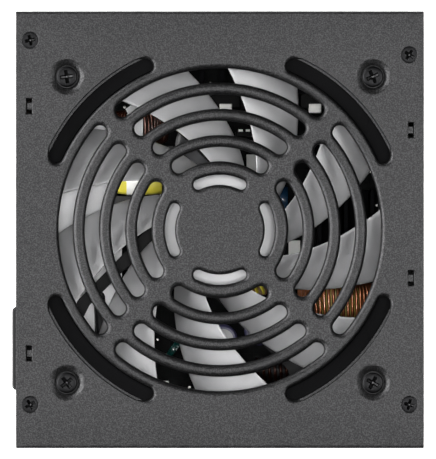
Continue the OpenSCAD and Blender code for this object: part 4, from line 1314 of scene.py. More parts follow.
@dataclass
class FanRotor(SubAssembly):
    """Fan rotor: a hollow hub and swept blades with rounded edges.

    Attributes:
        fan_z: Height of the fan's lower face.
        hub_round: Radius of the hub's shoulder.
        hub_edge: Bevel of the hub's lower edge.
        blade_t: Thickness of a blade.
        thin: Half of a blade's thickness at its edges, as a share.
        bulge: What its middle adds to that.
        camber: How far the middle of a blade stands over its chord.
        reference_r: Radius at which the edges' angles are given.
        lead: Angle of the leading edge there, and how it grows with the radius's logarithm.
        trail: The same for the trailing edge.
        low: Height of the trailing edge at the hub, over the fan's lower face, and its rise to the tip.
        high: The same for the leading edge.
        edge_share: Part of the width in which an edge is rounded.
        tip_share: Part of the span in which the tip is rounded.
        across: Faces across a blade's skin.
        out: Faces along a blade.
    """

    fan_z: float = 58.4
    hub_r: float = 20.5
    hub_round: float = 3.0
    hub_wall: float = 1.65
    hub_edge: float = 0.3
    hub_sides: int = 96
    face_t: float = 3.0
    boss_r: float = 4.0
    boss_z: float = 76.825
    bore_r: float = 1.51
    blade_count: int = 9
    tip_r: float = 56.3
    blade_t: float = 1.6
    thin: float = 0.3
    bulge: float = 0.8
    camber: float = 1.4
    reference_r: float = 24.7
    lead: Flat = (19.6, 34.0)
    trail: Flat = (-9.3, 37.5)
    low: Flat = (8.6, 2.6)
    high: Flat = (22.0, -0.8)
    edge_share: float = 0.05
    tip_share: float = 0.03
    across: int = 20
    out: int = 14
    tip_steps: int = 5

    def hub(self, maker: MeshMaker) -> None:
        """Adds the hub with its boss.

        Args:
            maker: Takes the faces.
        """
        bottom, top = low_of("fan_rotor")[2], high_of("fan_rotor")[2]
        shoulder = arc((self.hub_r - self.hub_round, top - self.hub_round), self.hub_round, 90.0, 0.0, 10)
        under = top - self.face_t
        inner = self.hub_r - self.hub_wall
        skirt = [(self.hub_r, bottom + self.hub_edge), (self.hub_r - self.hub_edge, bottom), (inner, bottom)]
        boss = [(self.boss_r, under), (self.boss_r, self.boss_z), (self.bore_r, self.boss_z),
                (self.bore_r, under)]
        maker.lathe([(0.0, top), *shoulder, *skirt, (inner, under), *boss, (0.0, under)], self.hub_sides)

    def closing(self, place: float, share: float) -> float:
        """How thick a blade is near an edge, as a share: a round nose from 0 at place 1."""
        return math.sqrt(max(0.0, 1 - max(0.0, (place - 1 + share) / share) ** 2))

    def point(self, r: float, u: float, side: float) -> Vector:
        """A point of a blade's skin.

        Args:
            r: Distance from the fan's axis.
            u: Place across the blade, from its trailing edge at 0 to its leading edge at 1.
            side: 1 for the upper skin, -1 for the lower.

        Returns:
            The point.
        """
        swing = math.log(r / self.reference_r)
        angle = math.radians((self.trail[0] + self.trail[1] * swing) * (1 - u)
                             + (self.lead[0] + self.lead[1] * swing) * u)
        span = (r - self.hub_r) / (self.tip_r - self.hub_r)
        low, high = (edge[0] + edge[1] * span for edge in (self.low, self.high))
        half = self.blade_t * (self.thin + self.bulge * u * (1 - u))
        half *= self.closing(abs(2 * u - 1), self.edge_share) * self.closing(span, self.tip_share)
        z = self.fan_z + low + (high - low) * u + 4 * self.camber * u * (1 - u) + side * half
        return Vector((r * math.cos(angle), r * math.sin(angle), z))

    def blade(self, maker: MeshMaker, place: Matrix) -> None:
        """Adds one blade.

        Args:
            maker: Takes the faces.
            place: Where the blade stands round the hub.
        """
        root = self.hub_r - self.hub_wall / 2
        body_share = 1 - 1.2 * self.tip_share
        shares = [body_share * k / self.out for k in range(self.out + 1)]
        turns = [math.pi / 2 * k / self.tip_steps for k in range(1, self.tip_steps + 1)]
        shares += [body_share + (1 - body_share) * math.sin(turn) for turn in turns]
        places = [(1 - math.cos(math.pi * k / self.across)) / 2 for k in range(self.across + 1)]
        rows = []
        for share in shares:
            r = root + (self.tip_r - root) * share
            upper = [self.point(r, u, 1.0) for u in places]
            lower = [self.point(r, u, -1.0) for u in places[-2:0:-1]]
            rows.append(maker.loop(place @ p for p in upper + lower))
        maker.bands(rows)
        maker.cap(rows[0])

    def build(self) -> list[bpy.types.Object]:
        """Builds the rotor as one piece.

        Returns:
            The rotor.
        """
        maker = MeshMaker()
        self.hub(maker)
        for k in range(self.blade_count):
            self.blade(maker, Matrix.Rotation(2 * math.pi * k / self.blade_count, 4, "Z"))
        piece = maker.make("fan_hub_and_blades", [FAN_PALE], 40.0)
        return [hand_over(piece, Body.ROTOR, "fan_pale", "fan_rotor")]


@dataclass
class RingWinding:
    """Wire wound round an upright ring core.

    Attributes:
        at: Middle of the ring over the board.
        core: Inner radius, outer radius and height of the core.
        wire: Thickness of the wire.
        loops: Number of loops.
        layers: Number of layers that the loops share inside the ring.
        open_angle: Part of the ring that is left bare at its foot, in degrees.
        deck: Height of the board.
        lift: Room under the coil.
        room: Room between the wire and the core.
        power: How square a loop is; 2 is round.
        spread: How far an inner layer stands out at the core's faces, over its depth inside the ring.
        rings: Points in a loop.
    """

    at: Flat
    core: Point
    wire: float
    loops: int
    layers: int
    open_angle: float
    deck: float = 8.6
    lift: float = 2.2
    room: float = 0.3
    power: int = 5
    spread: float = 0.6
    rings: int = 32

    def path(self) -> list[Vector]:
        """Winds the wire, from the board round the core and back to the board.

        Returns:
            Points along the wire.
        """
        r0, r1, height = self.core
        gap = self.wire / 2 + self.room
        wide, tall, mid = (r1 - r0) / 2 + gap, height / 2 + gap, (r0 + r1) / 2
        z = self.deck + r1 + self.wire + self.lift
        count = self.loops * self.rings
        points = []
        for k in range(count + 1):
            f = 2 * math.pi * k / self.rings
            scale = squared(f, self.power)
            turn = math.radians(-90 + self.open_angle / 2 + (360 - self.open_angle) * k / count)
            inward = self.wire * (k // self.rings % self.layers) * (1 - math.cos(f)) / 2
            r = mid + (wide + inward) * math.cos(f) * scale
            side = (tall + self.spread * inward) * math.sin(f) * scale
            x, y = self.at[0] + r * math.cos(turn), self.at[1] + side
            points.append(Vector((x, y, z + r * math.sin(turn))))
        first, last = (Vector((p.x, p.y, self.deck)) for p in (points[0], points[-1]))
        return [first, *points, last]


@dataclass
class RodWinding:
    """Wire wound along a straight core.

    Attributes:
        at: Middle of the coil.
        axis: Direction of the core.
        radius: Distance of the wire's middle from the core's axis.
        step: Distance from one loop to the next.
        loops: Number of loops.
        deck: Height that the wire's ends go down to, if they do.
        rings: Points in a loop.
    """

    at: Point
    axis: Axis
    radius: float
    step: float
    loops: int
    deck: float | None = None
    rings: int = 28

    def path(self) -> list[Vector]:
        """Winds the wire along the core.

        Returns:
            Points along the wire.
        """
        points = []
        for k in range(self.loops * self.rings + 1):
            f = 2 * math.pi * k / self.rings
            along = self.step * (k / self.rings - self.loops / 2)
            c, s = self.radius * math.cos(f), self.radius * math.sin(f)
            points.append(Vector(self.at) + Vector((along, c, s) if self.axis is Axis.X else (c, s, along)))
        if self.deck is None:
            return points
        first, last = (Vector((p.x, p.y, self.deck)) for p in (points[0], points[-1]))
        return [first, *points, last]


@dataclass
class LimbWinding:
    """Wire wound in a rounded rectangle round a stator limb.

    Attributes:
        turn: Angle of the limb, in degrees.
        middle: Middle of the coil on the limb along +X.
        half: Half of a loop's width and height.
        step: Distance from one loop to the next.
        power: How square a loop is; 2 is round.
        rings: Points in a loop.
    """

    turn: float
    middle: Point = (10.2, 0.0, 69.4)
    half: Flat = (2.25, 4.65)
    step: float = 1.0
    loops: int = 4
    power: int = 6
    rings: int = 24

    def path(self) -> list[Vector]:
        """Winds the wire round the limb.

        Returns:
            Points along the wire.
        """
        place = Matrix.Rotation(math.radians(self.turn), 3, "Z")
        points = []
        for k in range(self.loops * self.rings + 1):
            f = 2 * math.pi * k / self.rings
            scale = squared(f, self.power)
            along = self.step * (k / self.rings - self.loops / 2)
            local = (along, self.half[0] * math.cos(f) * scale, self.half[1] * math.sin(f) * scale)
            points.append(place @ (Vector(self.middle) + Vector(local)))
        return points


Winding = Union[RingWinding, RodWinding, LimbWinding]


@dataclass
class Coils(SubAssembly):
    """Every winding of bare enamelled wire.

    Attributes:
        line_at: Middle of the line choke's two coils.
        line_pitch: Distance between those coils.
        rod_wire: Wire of the filter coil and the line choke.
        limb_wire: Wire of the fan's coils.
        sides: Faces round a wire.
    """

    line_at: Point = (-50.0, 50.0, 23.6)
    line_pitch: float = 20.0
    rod_wire: float = 1.2
    limb_wire: float = 0.84
    sides: int = 10

    def wound(self, name: str, windings: Sequence[Winding], wire: float, finish: Finish, node: str,
              slot: str) -> bpy.types.Object:
        """Builds one winding.

        Args:
            name: Name of the piece.
            windings: Each of its wires.
            wire: Thickness of the wire.
            finish: Its lacquer.
            node: The node that it stands for.
            slot: The record's material slot.

        Returns:
            The piece.
        """
        maker = MeshMaker()
        for winding in windings:
            maker.tube(winding.path(), wire / 2, self.sides)
        return hand_over(maker.make(name, [finish], 60.0), Body.CASE, slot, node)

    def build(self) -> list[bpy.types.Object]:
        """Winds the chokes, the filter coil, the line choke and the fan's coils.

        Returns:
            The windings.
        """
        choke = RingWinding(at=(41.5, -25.5), core=(7.2, 12.6, 10.0), wire=1.3, loops=44, layers=2,
                            open_angle=50.0)
        boost = RingWinding(at=(-28.5, 36.0), core=(5.0, 9.0, 8.0), wire=1.0, loops=42, layers=3,
                            open_angle=60.0)
        rod = RodWinding(at=(19.0, -49.6, 15.0), axis=Axis.X, radius=3.9, step=2.0, loops=6, deck=choke.deck)
        x, y, z = self.line_at
        spots = [(x + side * self.line_pitch / 2, y, z) for side in (-1, 1)]
        line = [RodWinding(at=spot, axis=Axis.Z, radius=5.95, step=1.25, loops=7) for spot in spots]
        limbs = [LimbWinding(turn) for turn in QUARTERS]
        return [
            self.wound("output_choke_wire", [choke], choke.wire, COPPER, "output_choke_winding", "copper"),
            # The boost choke and the filter coil take the darker copper copy: painted shade.
            self.wound("boost_choke_wire", [boost], boost.wire, COPPER_SHADED, "boost_choke_winding",
                       "dark_copper"),
            self.wound("filter_coil_wire", [rod], self.rod_wire, COPPER_SHADED, "filter_coil_winding",
                       "dark_copper"),
            self.wound("line_choke_wire", line, self.rod_wire, COPPER, "line_choke_coils", "copper"),
            self.wound("fan_coil_wire", limbs, self.limb_wire, COPPER, "fan_coils", "copper"),
        ]


@dataclass
class Leads(SubAssembly):
    """Insulated leads held inside the case, drawn smooth through the points of their routes.

    Attributes:
        thickness: Thickness of a lead.
        deck: Height of the board.
        sides: Faces round a lead.
        steps: Points from one point of a route to the next.
        stripe_every: Faces from one stripe of the earth lead to the next.
        stripe_sides: Faces in a stripe.
        earth_at: Middle of the earth lead's ring.
        tag_ring: Inner and outer radius of the ring.
        tag_z: Heights of its lower and upper face.
        tag_x: Where its tongue starts and ends, from the ring's middle.
        tag_half: Half of the tongue's width.
        tag_sides: Faces round the ring.
    """

    thickness: float = 3.0
    deck: float = 8.6
    sides: int = 14
    steps: int = 5
    stripe_every: int = 7
    stripe_sides: int = 2
    earth_at: Flat = (-58.0, -63.0)
    tag_ring: Flat = (1.65, 3.6)
    tag_z: Flat = (1.0, 1.8)
    tag_x: Flat = (3.2, 7.8)
    tag_half: float = 1.9
    tag_sides: int = 32

    def smooth(self, route: Sequence[Point]) -> list[Vector]:
        """Points on a smooth curve through a route.

        Args:
            route: The route's own points.

        Returns:
            The curve's points.
        """
        knots = [Vector(p) for p in route]
        knots = [2 * knots[0] - knots[1], *knots, 2 * knots[-1] - knots[-2]]
        found = []
        for a, b, c, d in zip(knots, knots[1:], knots[2:], knots[3:], strict=False):
            for k in range(self.steps):
                t = k / self.steps
                found.append(0.5 * (2 * b + (c - a) * t + (2 * a - 5 * b + 4 * c - d) * t * t
                                    + (3 * b - a - 3 * c + d) * t ** 3))
        return [*found, knots[-2]]

    def mains_routes(self) -> list[list[Point]]:
        """Routes of the mains leads.

        Returns:
            From the inlet to the switch, from the switch to the board, and from the inlet to the board.
        """
        return [
            [(-45, -48.3, 43), (-41, -48.3, 43), (-37.5, -48, 38), (-37, -47, 28), (-39, -46.3, 21),
             (-42, -46.3, 19.5), (-46, -46.3, 19.5)],
            [(-46, -36.3, 19.5), (-42, -36.3, 19.5), (-38, -36, 18.4), (-35, -36, 16), (-34, -36, 13),
             (-34, -36, self.deck)],
            [(-45, -34.3, 43), (-41, -34.3, 43), (-37, -33, 38), (-34, -31, 28), (-33, -29, 18),
             (-33, -29, self.deck)],
        ]

    def earth_route(self) -> list[Point]:
        """Route of the earth lead.

        Returns:
            Points from the inlet to the lead's ring.
        """
        return [(-45, -41.3, 47), (-41, -41.3, 47), (-38, -44, 46), (-37, -52, 43), (-40, -58, 34),
                (-46, -62, 21), (-51, -63, 11), (-52, -63, 6), (-52, -63, 1.8)]

    def fan_route(self) -> list[Point]:
        """Route of the fan lead.

        Returns:
            Points from the fan's board under a strut and down to the lead's header.
        """
        return [(-17.2, -0.6, 62.4), (-19.6, -3, 62.4), (-22.6, -6, 62.2), (-25.6, -9.1, 61.2),
                (-27.9, -11.3, 59.2), (-29.3, -12.5, 57), (-30.9, -12.4, 56.1), (-33.6, -12.5, 56),
                (-36.9, -15.2, 56), (-39.9, -18.4, 56), (-41.6, -22.2, 56), (-42.2, -26, 56.8),
                (-42, -30, 58.6), (-41.2, -36, 60.1), (-41, -42, 60.2), (-41, -52, 60.2), (-41, -59, 60.2),
                (-40.4, -64, 58.6), (-38, -66, 53), (-33, -66, 42), (-27, -64, 30), (-23.4, -60, 23),
                (-22.2, -57, 19.6), (-22, -56, 17), (-22, -56, self.deck + 3)]

    def tag(self, maker: MeshMaker) -> None:
        """Adds the ring and tongue that the earth screw holds.

        Args:
            maker: Takes the faces.
        """
        (x, y), (low, high) = self.earth_at, self.tag_z
        inner, outer = self.tag_ring
        section = [(inner, low), (outer, low), (outer, high), (inner, high)]
        maker.lathe(section, self.tag_sides, Matrix.Translation((x, y, 0.0)))
        start, end = self.tag_x
        foot = rectangle((x + (start + end) / 2, y), ((end - start) / 2, self.tag_half))
        maker.solid([maker.loop((*p, z) for p in foot) for z in self.tag_z])

    def build(self) -> list[bpy.types.Object]:
        """Draws the mains, earth and fan leads.

        Returns:
            The leads.
        """
        r = self.thickness / 2
        striped = [LEAD_GREEN, LEAD_YELLOW, TINNED]
        mains, earth, fan = MeshMaker(), MeshMaker(), MeshMaker()
        for route in self.mains_routes():
            mains.tube(self.smooth(route), r, self.sides)
        self.tag(earth)
        for face in earth.bm.faces:
            face.material_index = striped.index(TINNED)
        earth.tube(self.smooth(self.earth_route()), r, self.sides,
                   lambda side: int(side % self.stripe_every < self.stripe_sides))
        fan.tube(self.smooth(self.fan_route()), r, self.sides)
        return [
            hand_over(mains.make("mains_wires", [LEAD_BLACK], 60.0), Body.CASE, "black_lead", "mains_leads"),
            hand_over(earth.make("earth_wire", striped, 50.0), Body.CASE, "earth_green", "earth_lead"),
            hand_over(fan.make("fan_wire", [LEAD_BLACK], 60.0), Body.CASE, "black_lead", "fan_lead"),
        ]


@dataclass
class TransformerWrap(SubAssembly):
    """Taped winding of the main transformer, with a white band over the yellow tape.

    Attributes:
        corner_r: Radius of the winding's corners.
        swell: How far the middle stands out over the ends.
        tuck: How far the tape is drawn in at its very ends.
        band_x: Where the band starts and ends.
        band_t: Thickness of the band over the tape.
        band_sink: How far the band goes down into the tape.
        limb: Width and height of the core's limb.
        steps: Faces along the winding.
        corner_steps: Chords in a corner.
    """

    node: str = "transformer_winding"
    corner_r: float = 3.0
    swell: float = 0.25
    tuck: float = 0.3
    band_x: Flat = (-32.6, -28.0)
    band_t: float = 0.18
    band_sink: float = 0.25
    limb: Flat = (6.2, 20.2)
    steps: int = 12
    corner_steps: int = 6

    def ring(self, x: float, grow: float, corner: float) -> list[Point]:
        """Points round the wrap's section.

        Args:
            x: Place along the limb.
            grow: How far the section stands out.
            corner: Radius of its corners.

        Returns:
            The points, in order.
        """
        _, width, height = size_of(self.node)
        half = (width / 2 + grow, height / 2 + grow)
        outline = rounded(middle_of(self.node)[1:], half, corner, self.corner_steps)
        return [(x, y, z) for y, z in outline]

    def hole(self, x: float) -> list[Point]:
        """Points round the limb's hole.

        Args:
            x: Place along the limb.

        Returns:
            The points, as many as round the wrap's section.
        """
        corners = rectangle(middle_of(self.node)[1:], (self.limb[0] / 2, self.limb[1] / 2))
        return [(x, y, z) for y, z in corners for _ in range(self.corner_steps + 1)]

    def build(self) -> list[bpy.types.Object]:
        """Builds the wrap and its band.

        Returns:
            Both pieces.
        """
        start, end = low_of(self.node)[0], high_of(self.node)[0]
        wrap, band = MeshMaker(), MeshMaker()
        rows = [wrap.loop(self.hole(start))]
        for k in range(self.steps + 1):
            share = k / self.steps
            off_middle = abs(2 * share - 1)
            droop = -self.tuck * off_middle ** 6 - self.swell * off_middle ** 2
            rows.append(wrap.loop(self.ring(start + (end - start) * share, droop, self.corner_r)))
        rows.append(wrap.loop(self.hole(end)))
        wrap.bands([*rows, rows[0]])
        first, last = self.band_x
        sunk = -self.band_sink
        section = [(first, sunk), (first, self.band_t), (last, self.band_t), (last, sunk)]
        loops = [band.loop(self.ring(x, grow, self.corner_r + grow)) for x, grow in section]
        band.bands([*loops, loops[0]])
        return [
            hand_over(wrap.make("transformer_wrap", [TAPE_YELLOW]), Body.CASE, "yellow_tape", self.node),
            hand_over(band.make("transformer_band", [TAPE_WHITE]), Body.CASE, "nylon"),
        ]


@dataclass
class StandbyTransformer(SubAssembly):
    """Small transformer: a bobbin with two flanges, a core bar across each end and a taped winding.

    Attributes:
        flange_t: Thickness of a flange.
        flange_corner: Radius of a flange's corners.
        flange_edge: Bevel of a flange's outer edge.
        end_t: Thickness of a flange and the bar on it.
        bar_share: Width of a bar, as a share of the bobbin's.
        bar_corner: Radius of a bar's corners.
        bar_edge: Bevel of a bar's outer edge.
        bar_sink: How far a bar goes down into its flange.
        wrap: Width of the winding along X and Y.
        wrap_corner: Radius of the winding's corners.
        wrap_tuck: How far the tape is drawn in at its ends.
        wrap_steps: Faces up the winding.
        wire_r: Radius of the wires that go round the flange's edge.
        wire_insets: Their distances from the bobbin's side.
        wire_sides: Faces round a wire.
        corner_steps: Chords in a corner.
    """

    node: str = "standby_transformer"
    flange_t: float = 1.3
    flange_corner: float = 0.8
    flange_edge: float = 0.25
    end_t: float = 3.0
    bar_share: float = 0.46
    bar_corner: float = 0.5
    bar_edge: float = 0.3
    bar_sink: float = 0.2
    wrap: Flat = (14.0, 13.0)
    wrap_corner: float = 2.2
    wrap_tuck: float = 0.3
    wrap_steps: int = 8
    wire_r: float = 0.55
    wire_insets: Flat = (1.1, 3.4)
    wire_sides: int = 12
    corner_steps: int = 5

    def slab(self, maker: MeshMaker, size: Flat, corner: float, heights: Sequence[Flat]) -> None:
        """Adds a stack of rounded rectangles over the transformer's middle.

        Args:
            maker: Takes the faces.
            size: Width along X and along Y.
            corner: Radius of the corners.
            heights: Heights and how far the outline stands out there.
        """
        rows = []
        for z, grow in heights:
            half = (size[0] / 2 + grow, size[1] / 2 + grow)
            outline = rounded(middle_of(self.node)[:2], half, corner, self.corner_steps)
            rows.append(maker.loop((x, y, z) for x, y in outline))
        maker.solid(rows)

    def end(self, bobbin: MeshMaker, bars: MeshMaker, inner: float, way: float) -> None:
        """Adds the flange and the core's bar at one end.

        Args:
            bobbin: Takes the flange's faces.
            bars: Takes the bar's faces.
            inner: Height of the flange's inner face.
            way: 1 at the upper end, -1 at the lower.
        """
        wide, deep, _ = size_of(self.node)
        outer, tip = inner + way * self.flange_t, inner + way * self.end_t
        flange = [(inner, 0.0), (outer - way * self.flange_edge, 0.0), (outer, -self.flange_edge)]
        bar = [(outer - way * self.bar_sink, 0.0), (tip - way * self.bar_edge, 0.0), (tip, -self.bar_edge)]
        self.slab(bobbin, (wide, deep), self.flange_corner, flange)
        self.slab(bars, (wide, deep * self.bar_share), self.bar_corner, bar)

    def wire(self, maker: MeshMaker, inset: float) -> None:
        """Adds a wire that comes over the upper flange's edge and goes down into the winding.

        Args:
            maker: Takes the faces.
            inset: Its distance from the bobbin's side.
        """
        side, _, top = high_of(self.node)
        x, edge, under = side - inset, low_of(self.node)[1], top - self.end_t
        deck = under + self.flange_t + self.wire_r
        route = [(x - 2.2, edge + 4.6, deck), (x - 0.8, edge + 3.0, deck + 0.2), (x, edge + 1.4, deck),
                 (x, edge + 0.7, deck - 0.7), (x, edge + 0.6, deck - 2.4), (x, edge + 1.2, under - 2.0)]
        maker.tube([Vector(p) for p in route], self.wire_r, self.wire_sides)

    def build(self) -> list[bpy.types.Object]:
        """Builds the winding, the bobbin and the core's bars.

        Returns:
            The pieces.
        """
        bobbin, bars, wrap, wires = MeshMaker(), MeshMaker(), MeshMaker(), MeshMaker()
        start, end = low_of(self.node)[2] + self.end_t, high_of(self.node)[2] - self.end_t
        self.end(bobbin, bars, start, -1.0)
        self.end(bobbin, bars, end, 1.0)
        shares = [k / self.wrap_steps for k in range(self.wrap_steps + 1)]
        swell = [(start + (end - start) * t, -self.wrap_tuck * (2 * t - 1) ** 4) for t in shares]
        self.slab(wrap, self.wrap, self.wrap_corner, swell)
        for inset in self.wire_insets:
            self.wire(wires, inset)
        return [
            hand_over(wires.make("standby_wires", [LEAD_YELLOW], 60.0), Body.CASE, "yellow_tape"),
            hand_over(wrap.make("standby_wrap", [TAPE_YELLOW]), Body.CASE, "yellow_tape", self.node),
            hand_over(bobbin.make("standby_bobbin", [PHENOLIC]), Body.CASE, "chip_black"),
            hand_over(bars.make("standby_core", [FERRITE]), Body.CASE, "ferrite"),
        ]


@dataclass
class PinHeader(SubAssembly):
    """White pin housings along the control board's upper edge.

    Attributes:
        count: Number of pins.
        pitch: Distance from one pin to the next.
        shift: Middle of the row, from the board's.
        inset: Distance of the row from the board's face.
        pin: Size of a housing.
        drop: Depth of the pins' ends below the board's upper edge.
        cap_t: Height of a housing.
        sink: How far a housing goes down over its pin.
    """

    count: int = 8
    pitch: float = 2.54
    shift: float = -1.6
    inset: float = 0.4
    pin: Flat = (1.5, 0.75)
    drop: float = 0.6
    cap_t: float = 0.3
    sink: float = 0.02

    def build(self) -> list[bpy.types.Object]:
        """Sets a housing on each of the board's pins.

        Returns:
            The housings, as one piece.
        """
        _, far, top = high_of("control_board")
        first = middle_of("control_board")[0] + self.shift - (self.count - 1) / 2 * self.pitch
        foot = top - self.drop - self.sink
        half = (self.pin[0] / 2, self.pin[1] / 2)
        maker = MeshMaker()
        for k in range(self.count):
            corners = rectangle((first + k * self.pitch, far - self.inset), half)
            maker.solid([maker.loop((*p, z) for p in corners) for z in (foot, foot + self.cap_t)])
        return [hand_over(maker.make("control_header", [NYLON]), Body.CASE, "nylon")]


@dataclass
class RockerMarks(SubAssembly):
    """Printed on and off marks on the rocker's two halves.

    Attributes:
        pivot: Middle of the rocker's pin.
        tilt: Angle of each half's face to the panel when the rocker is level, in degrees.
        half: Half of the rocker's width.
        rise: Height of the rocker's middle over its pin.
        ink: How far a mark stands out, and goes in.
        ring: Inner and outer radius of the ring.
        stroke: Half of the stroke's width and length.
    """

    pivot: Point = (-66.0, -41.3, 19.5)
    tilt: float = 8.0
    half: float = 7.6
    rise: float = 4.6
    ink: float = 0.05
    ring: Flat = (1.15, 1.75)
    stroke: Flat = (0.3, 1.8)

    def place(self, side: float) -> Matrix:
        """Frame on the middle of one half of the rocker, Z out of its face.

        Args:
            side: 1 for the half towards -Y, -1 for the other.

        Returns:
            The frame.
        """
        lean = math.radians(self.tilt)
        tilted = Matrix.Rotation(lean, 4, "Y")
        face = Matrix.Rotation(-side * lean, 4, "Y")
        spot = Matrix.Translation((side * self.half / 2, 0.0, self.rise + self.half / 2 * math.tan(lean)))
        panel = Matrix(((0, 0, -1, self.pivot[0]), (-1, 0, 0, self.pivot[1]), (0, 1, 0, self.pivot[2]),
                        (0, 0, 0, 1)))
        return panel @ tilted @ spot @ face

    def build(self) -> list[bpy.types.Object]:
        """Prints a ring on one half and a stroke on the other.

        Returns:
            Both marks, as one piece.
        """
        maker = MeshMaker()
        inner, outer = self.ring
        low, high = -self.ink, self.ink
        maker.lathe([(inner, low), (outer, low), (outer, high), (inner, high)], 40, self.place(-1.0))
        place, foot = self.place(1.0), rectangle((0.0, 0.0), self.stroke)
        maker.solid([maker.loop(place @ Vector((*p, z)) for p in foot) for z in (low, high)])
        piece = maker.make("rocker_marks", [MARK_WHITE], 30.0)
        return [hand_over(piece, Body.ROCKER, "nylon")]


@dataclass(frozen=True)
class Dress:
    """How a node of the frame that stays is finished.

    Attributes:
        finish: Its finish.
        bevel: Width of the rounding on its edges, or 0.
    """

    finish: Finish
    bevel: float = 0.0


@dataclass
class FrameNodes(SubAssembly):
    """Nodes of the frame that keep their own shape.

    Attributes:
        weld: Distance under which points are joined before an edge is rounded.
        bevel_angle: Angle past which an edge is rounded, in degrees.
        bevel_segments: Faces across a rounded edge.
    """

    weld: float = 0.0005
    bevel_angle: float = 30.0
    bevel_segments: int = 2

    def dresses(self) -> dict[str, Dress]:
        """Lists the nodes that stay.

        Returns:
            Each node's finish.
        """
        bulk_top, can_top = high_of("bulk_capacitor")[2], high_of("output_capacitors")[2]
        black_can = CanSleeve("black_can", (0.012, 0.012, 0.014), bulk_top, 0.7, (0.05, 0.05, 0.052))
        violet_can = CanSleeve("violet_can", (0.05, 0.047, 0.11), can_top, 0.7)
        return {
            "base_shell": Dress(CASE_COAT, 0.12),
            "insulating_sheet": Dress(FILM_BLACK),
            # The frame's darker copy of the fan plastic is painted shade.
            "fan_frame": Dress(FAN_BLACK_SHADED, 0.25),
            "fan_struts": Dress(STRUT_BLACK, 0.4),
            "fan_yoke": Dress(STEEL),
            "fan_magnet": Dress(MAGNET),
            "fan_shaft": Dress(STEEL),
            "fan_clip": Dress(NYLON),
            "fan_bearing": Dress(BRONZE),
            "fan_stator": Dress(LAMINATION),
            "fan_board": Dress(BOARD_GREEN),
            "air_baffle": Dress(BAFFLE),
            "baffle_rivets": Dress(NYLON, 0.3),
            "mains_inlet": Dress(INLET_BLACK, 0.35),
            "inlet_pins": Dress(TINNED, 0.3),
            "switch_housing": Dress(SOCKET_BLACK, 0.25),
            "switch_rocker": Dress(ROCKER_BLACK, 0.35),
            "switch_terminals": Dress(TINNED, 0.15),
            "earth_screw": Dress(STEEL, 0.2),
            "main_board": Dress(BOARD_BLACK),
            "board_standoffs": Dress(TINNED, 0.2),
            "board_screws": Dress(STEEL, 0.2),
            "fuse": Dress(FUSE_BODY, 0.2),
            "line_capacitors": Dress(FILM_BOX, 0.8),
            "line_choke_core": Dress(FERRITE, 0.4),
            "earth_capacitors": Dress(DISC_BLUE, 0.9),
            "thermistor": Dress(DISC_GREEN, 0.9),
            "bridge_rectifier": Dress(CHIP, 0.3),
            "primary_heatsink": Dress(FIN_BLACK, 0.2),
            "primary_transistors": Dress(CHIP, 0.2),
            "transistor_clips": Dress(NYLON, 0.4),
            "boost_choke_core": Dress(FERRITE),
            "bulk_capacitor": Dress(black_can),
            "transformer_core": Dress(FERRITE, 0.3),
            "output_heatsink": Dress(FIN_BLACK, 0.2),
            "output_transistors": Dress(CHIP, 0.2),
            "output_choke_core": Dress(CORE_COAT),
            "filter_coil_core": Dress(FERRITE, 0.3),
            "output_capacitors": Dress(violet_can),
            "control_board": Dress(BOARD_BLACK),
            "signal_headers": Dress(NYLON, 0.15),
            "link_bars": Dress(TINNED, 0.2),
            "output_board": Dress(BOARD_BLACK),
            "output_sockets_wide": Dress(SOCKET_BLACK, 0.15),
            "output_sockets": Dress(SOCKET_BLACK, 0.15),
            "output_pins": Dress(GILT, 0.12),
        }

    def build(self) -> list[bpy.types.Object]:
        """Gives each node its finish and rounds its edges.

        Returns:
            The nodes.
        """
        nodes = []
        for name, dress in self.dresses().items():
            node = frame["nodes"][name]
            for slot in node.material_slots:
                slot.material = dress.finish.make()
            if dress.bevel:
                join = node.modifiers.new("join", "WELD")
                join.merge_threshold = self.weld * MM
                edge = node.modifiers.new("edge", "BEVEL")
                edge.width = dress.bevel * MM
                edge.segments = self.bevel_segments
                edge.limit_method = "ANGLE"
                edge.angle_limit = math.radians(self.bevel_angle)
                edge.harden_normals = True
            nodes.append(node)
        return nodes


@dataclass(frozen=True)
class Softbox:
    """A soft light.

    Attributes:
        name: Name of the light.
        place: Where it stands.
        size: Its width and height.
        watts: Its strength.
    """

    name: str
    place: Point
    size: Flat
    watts: float


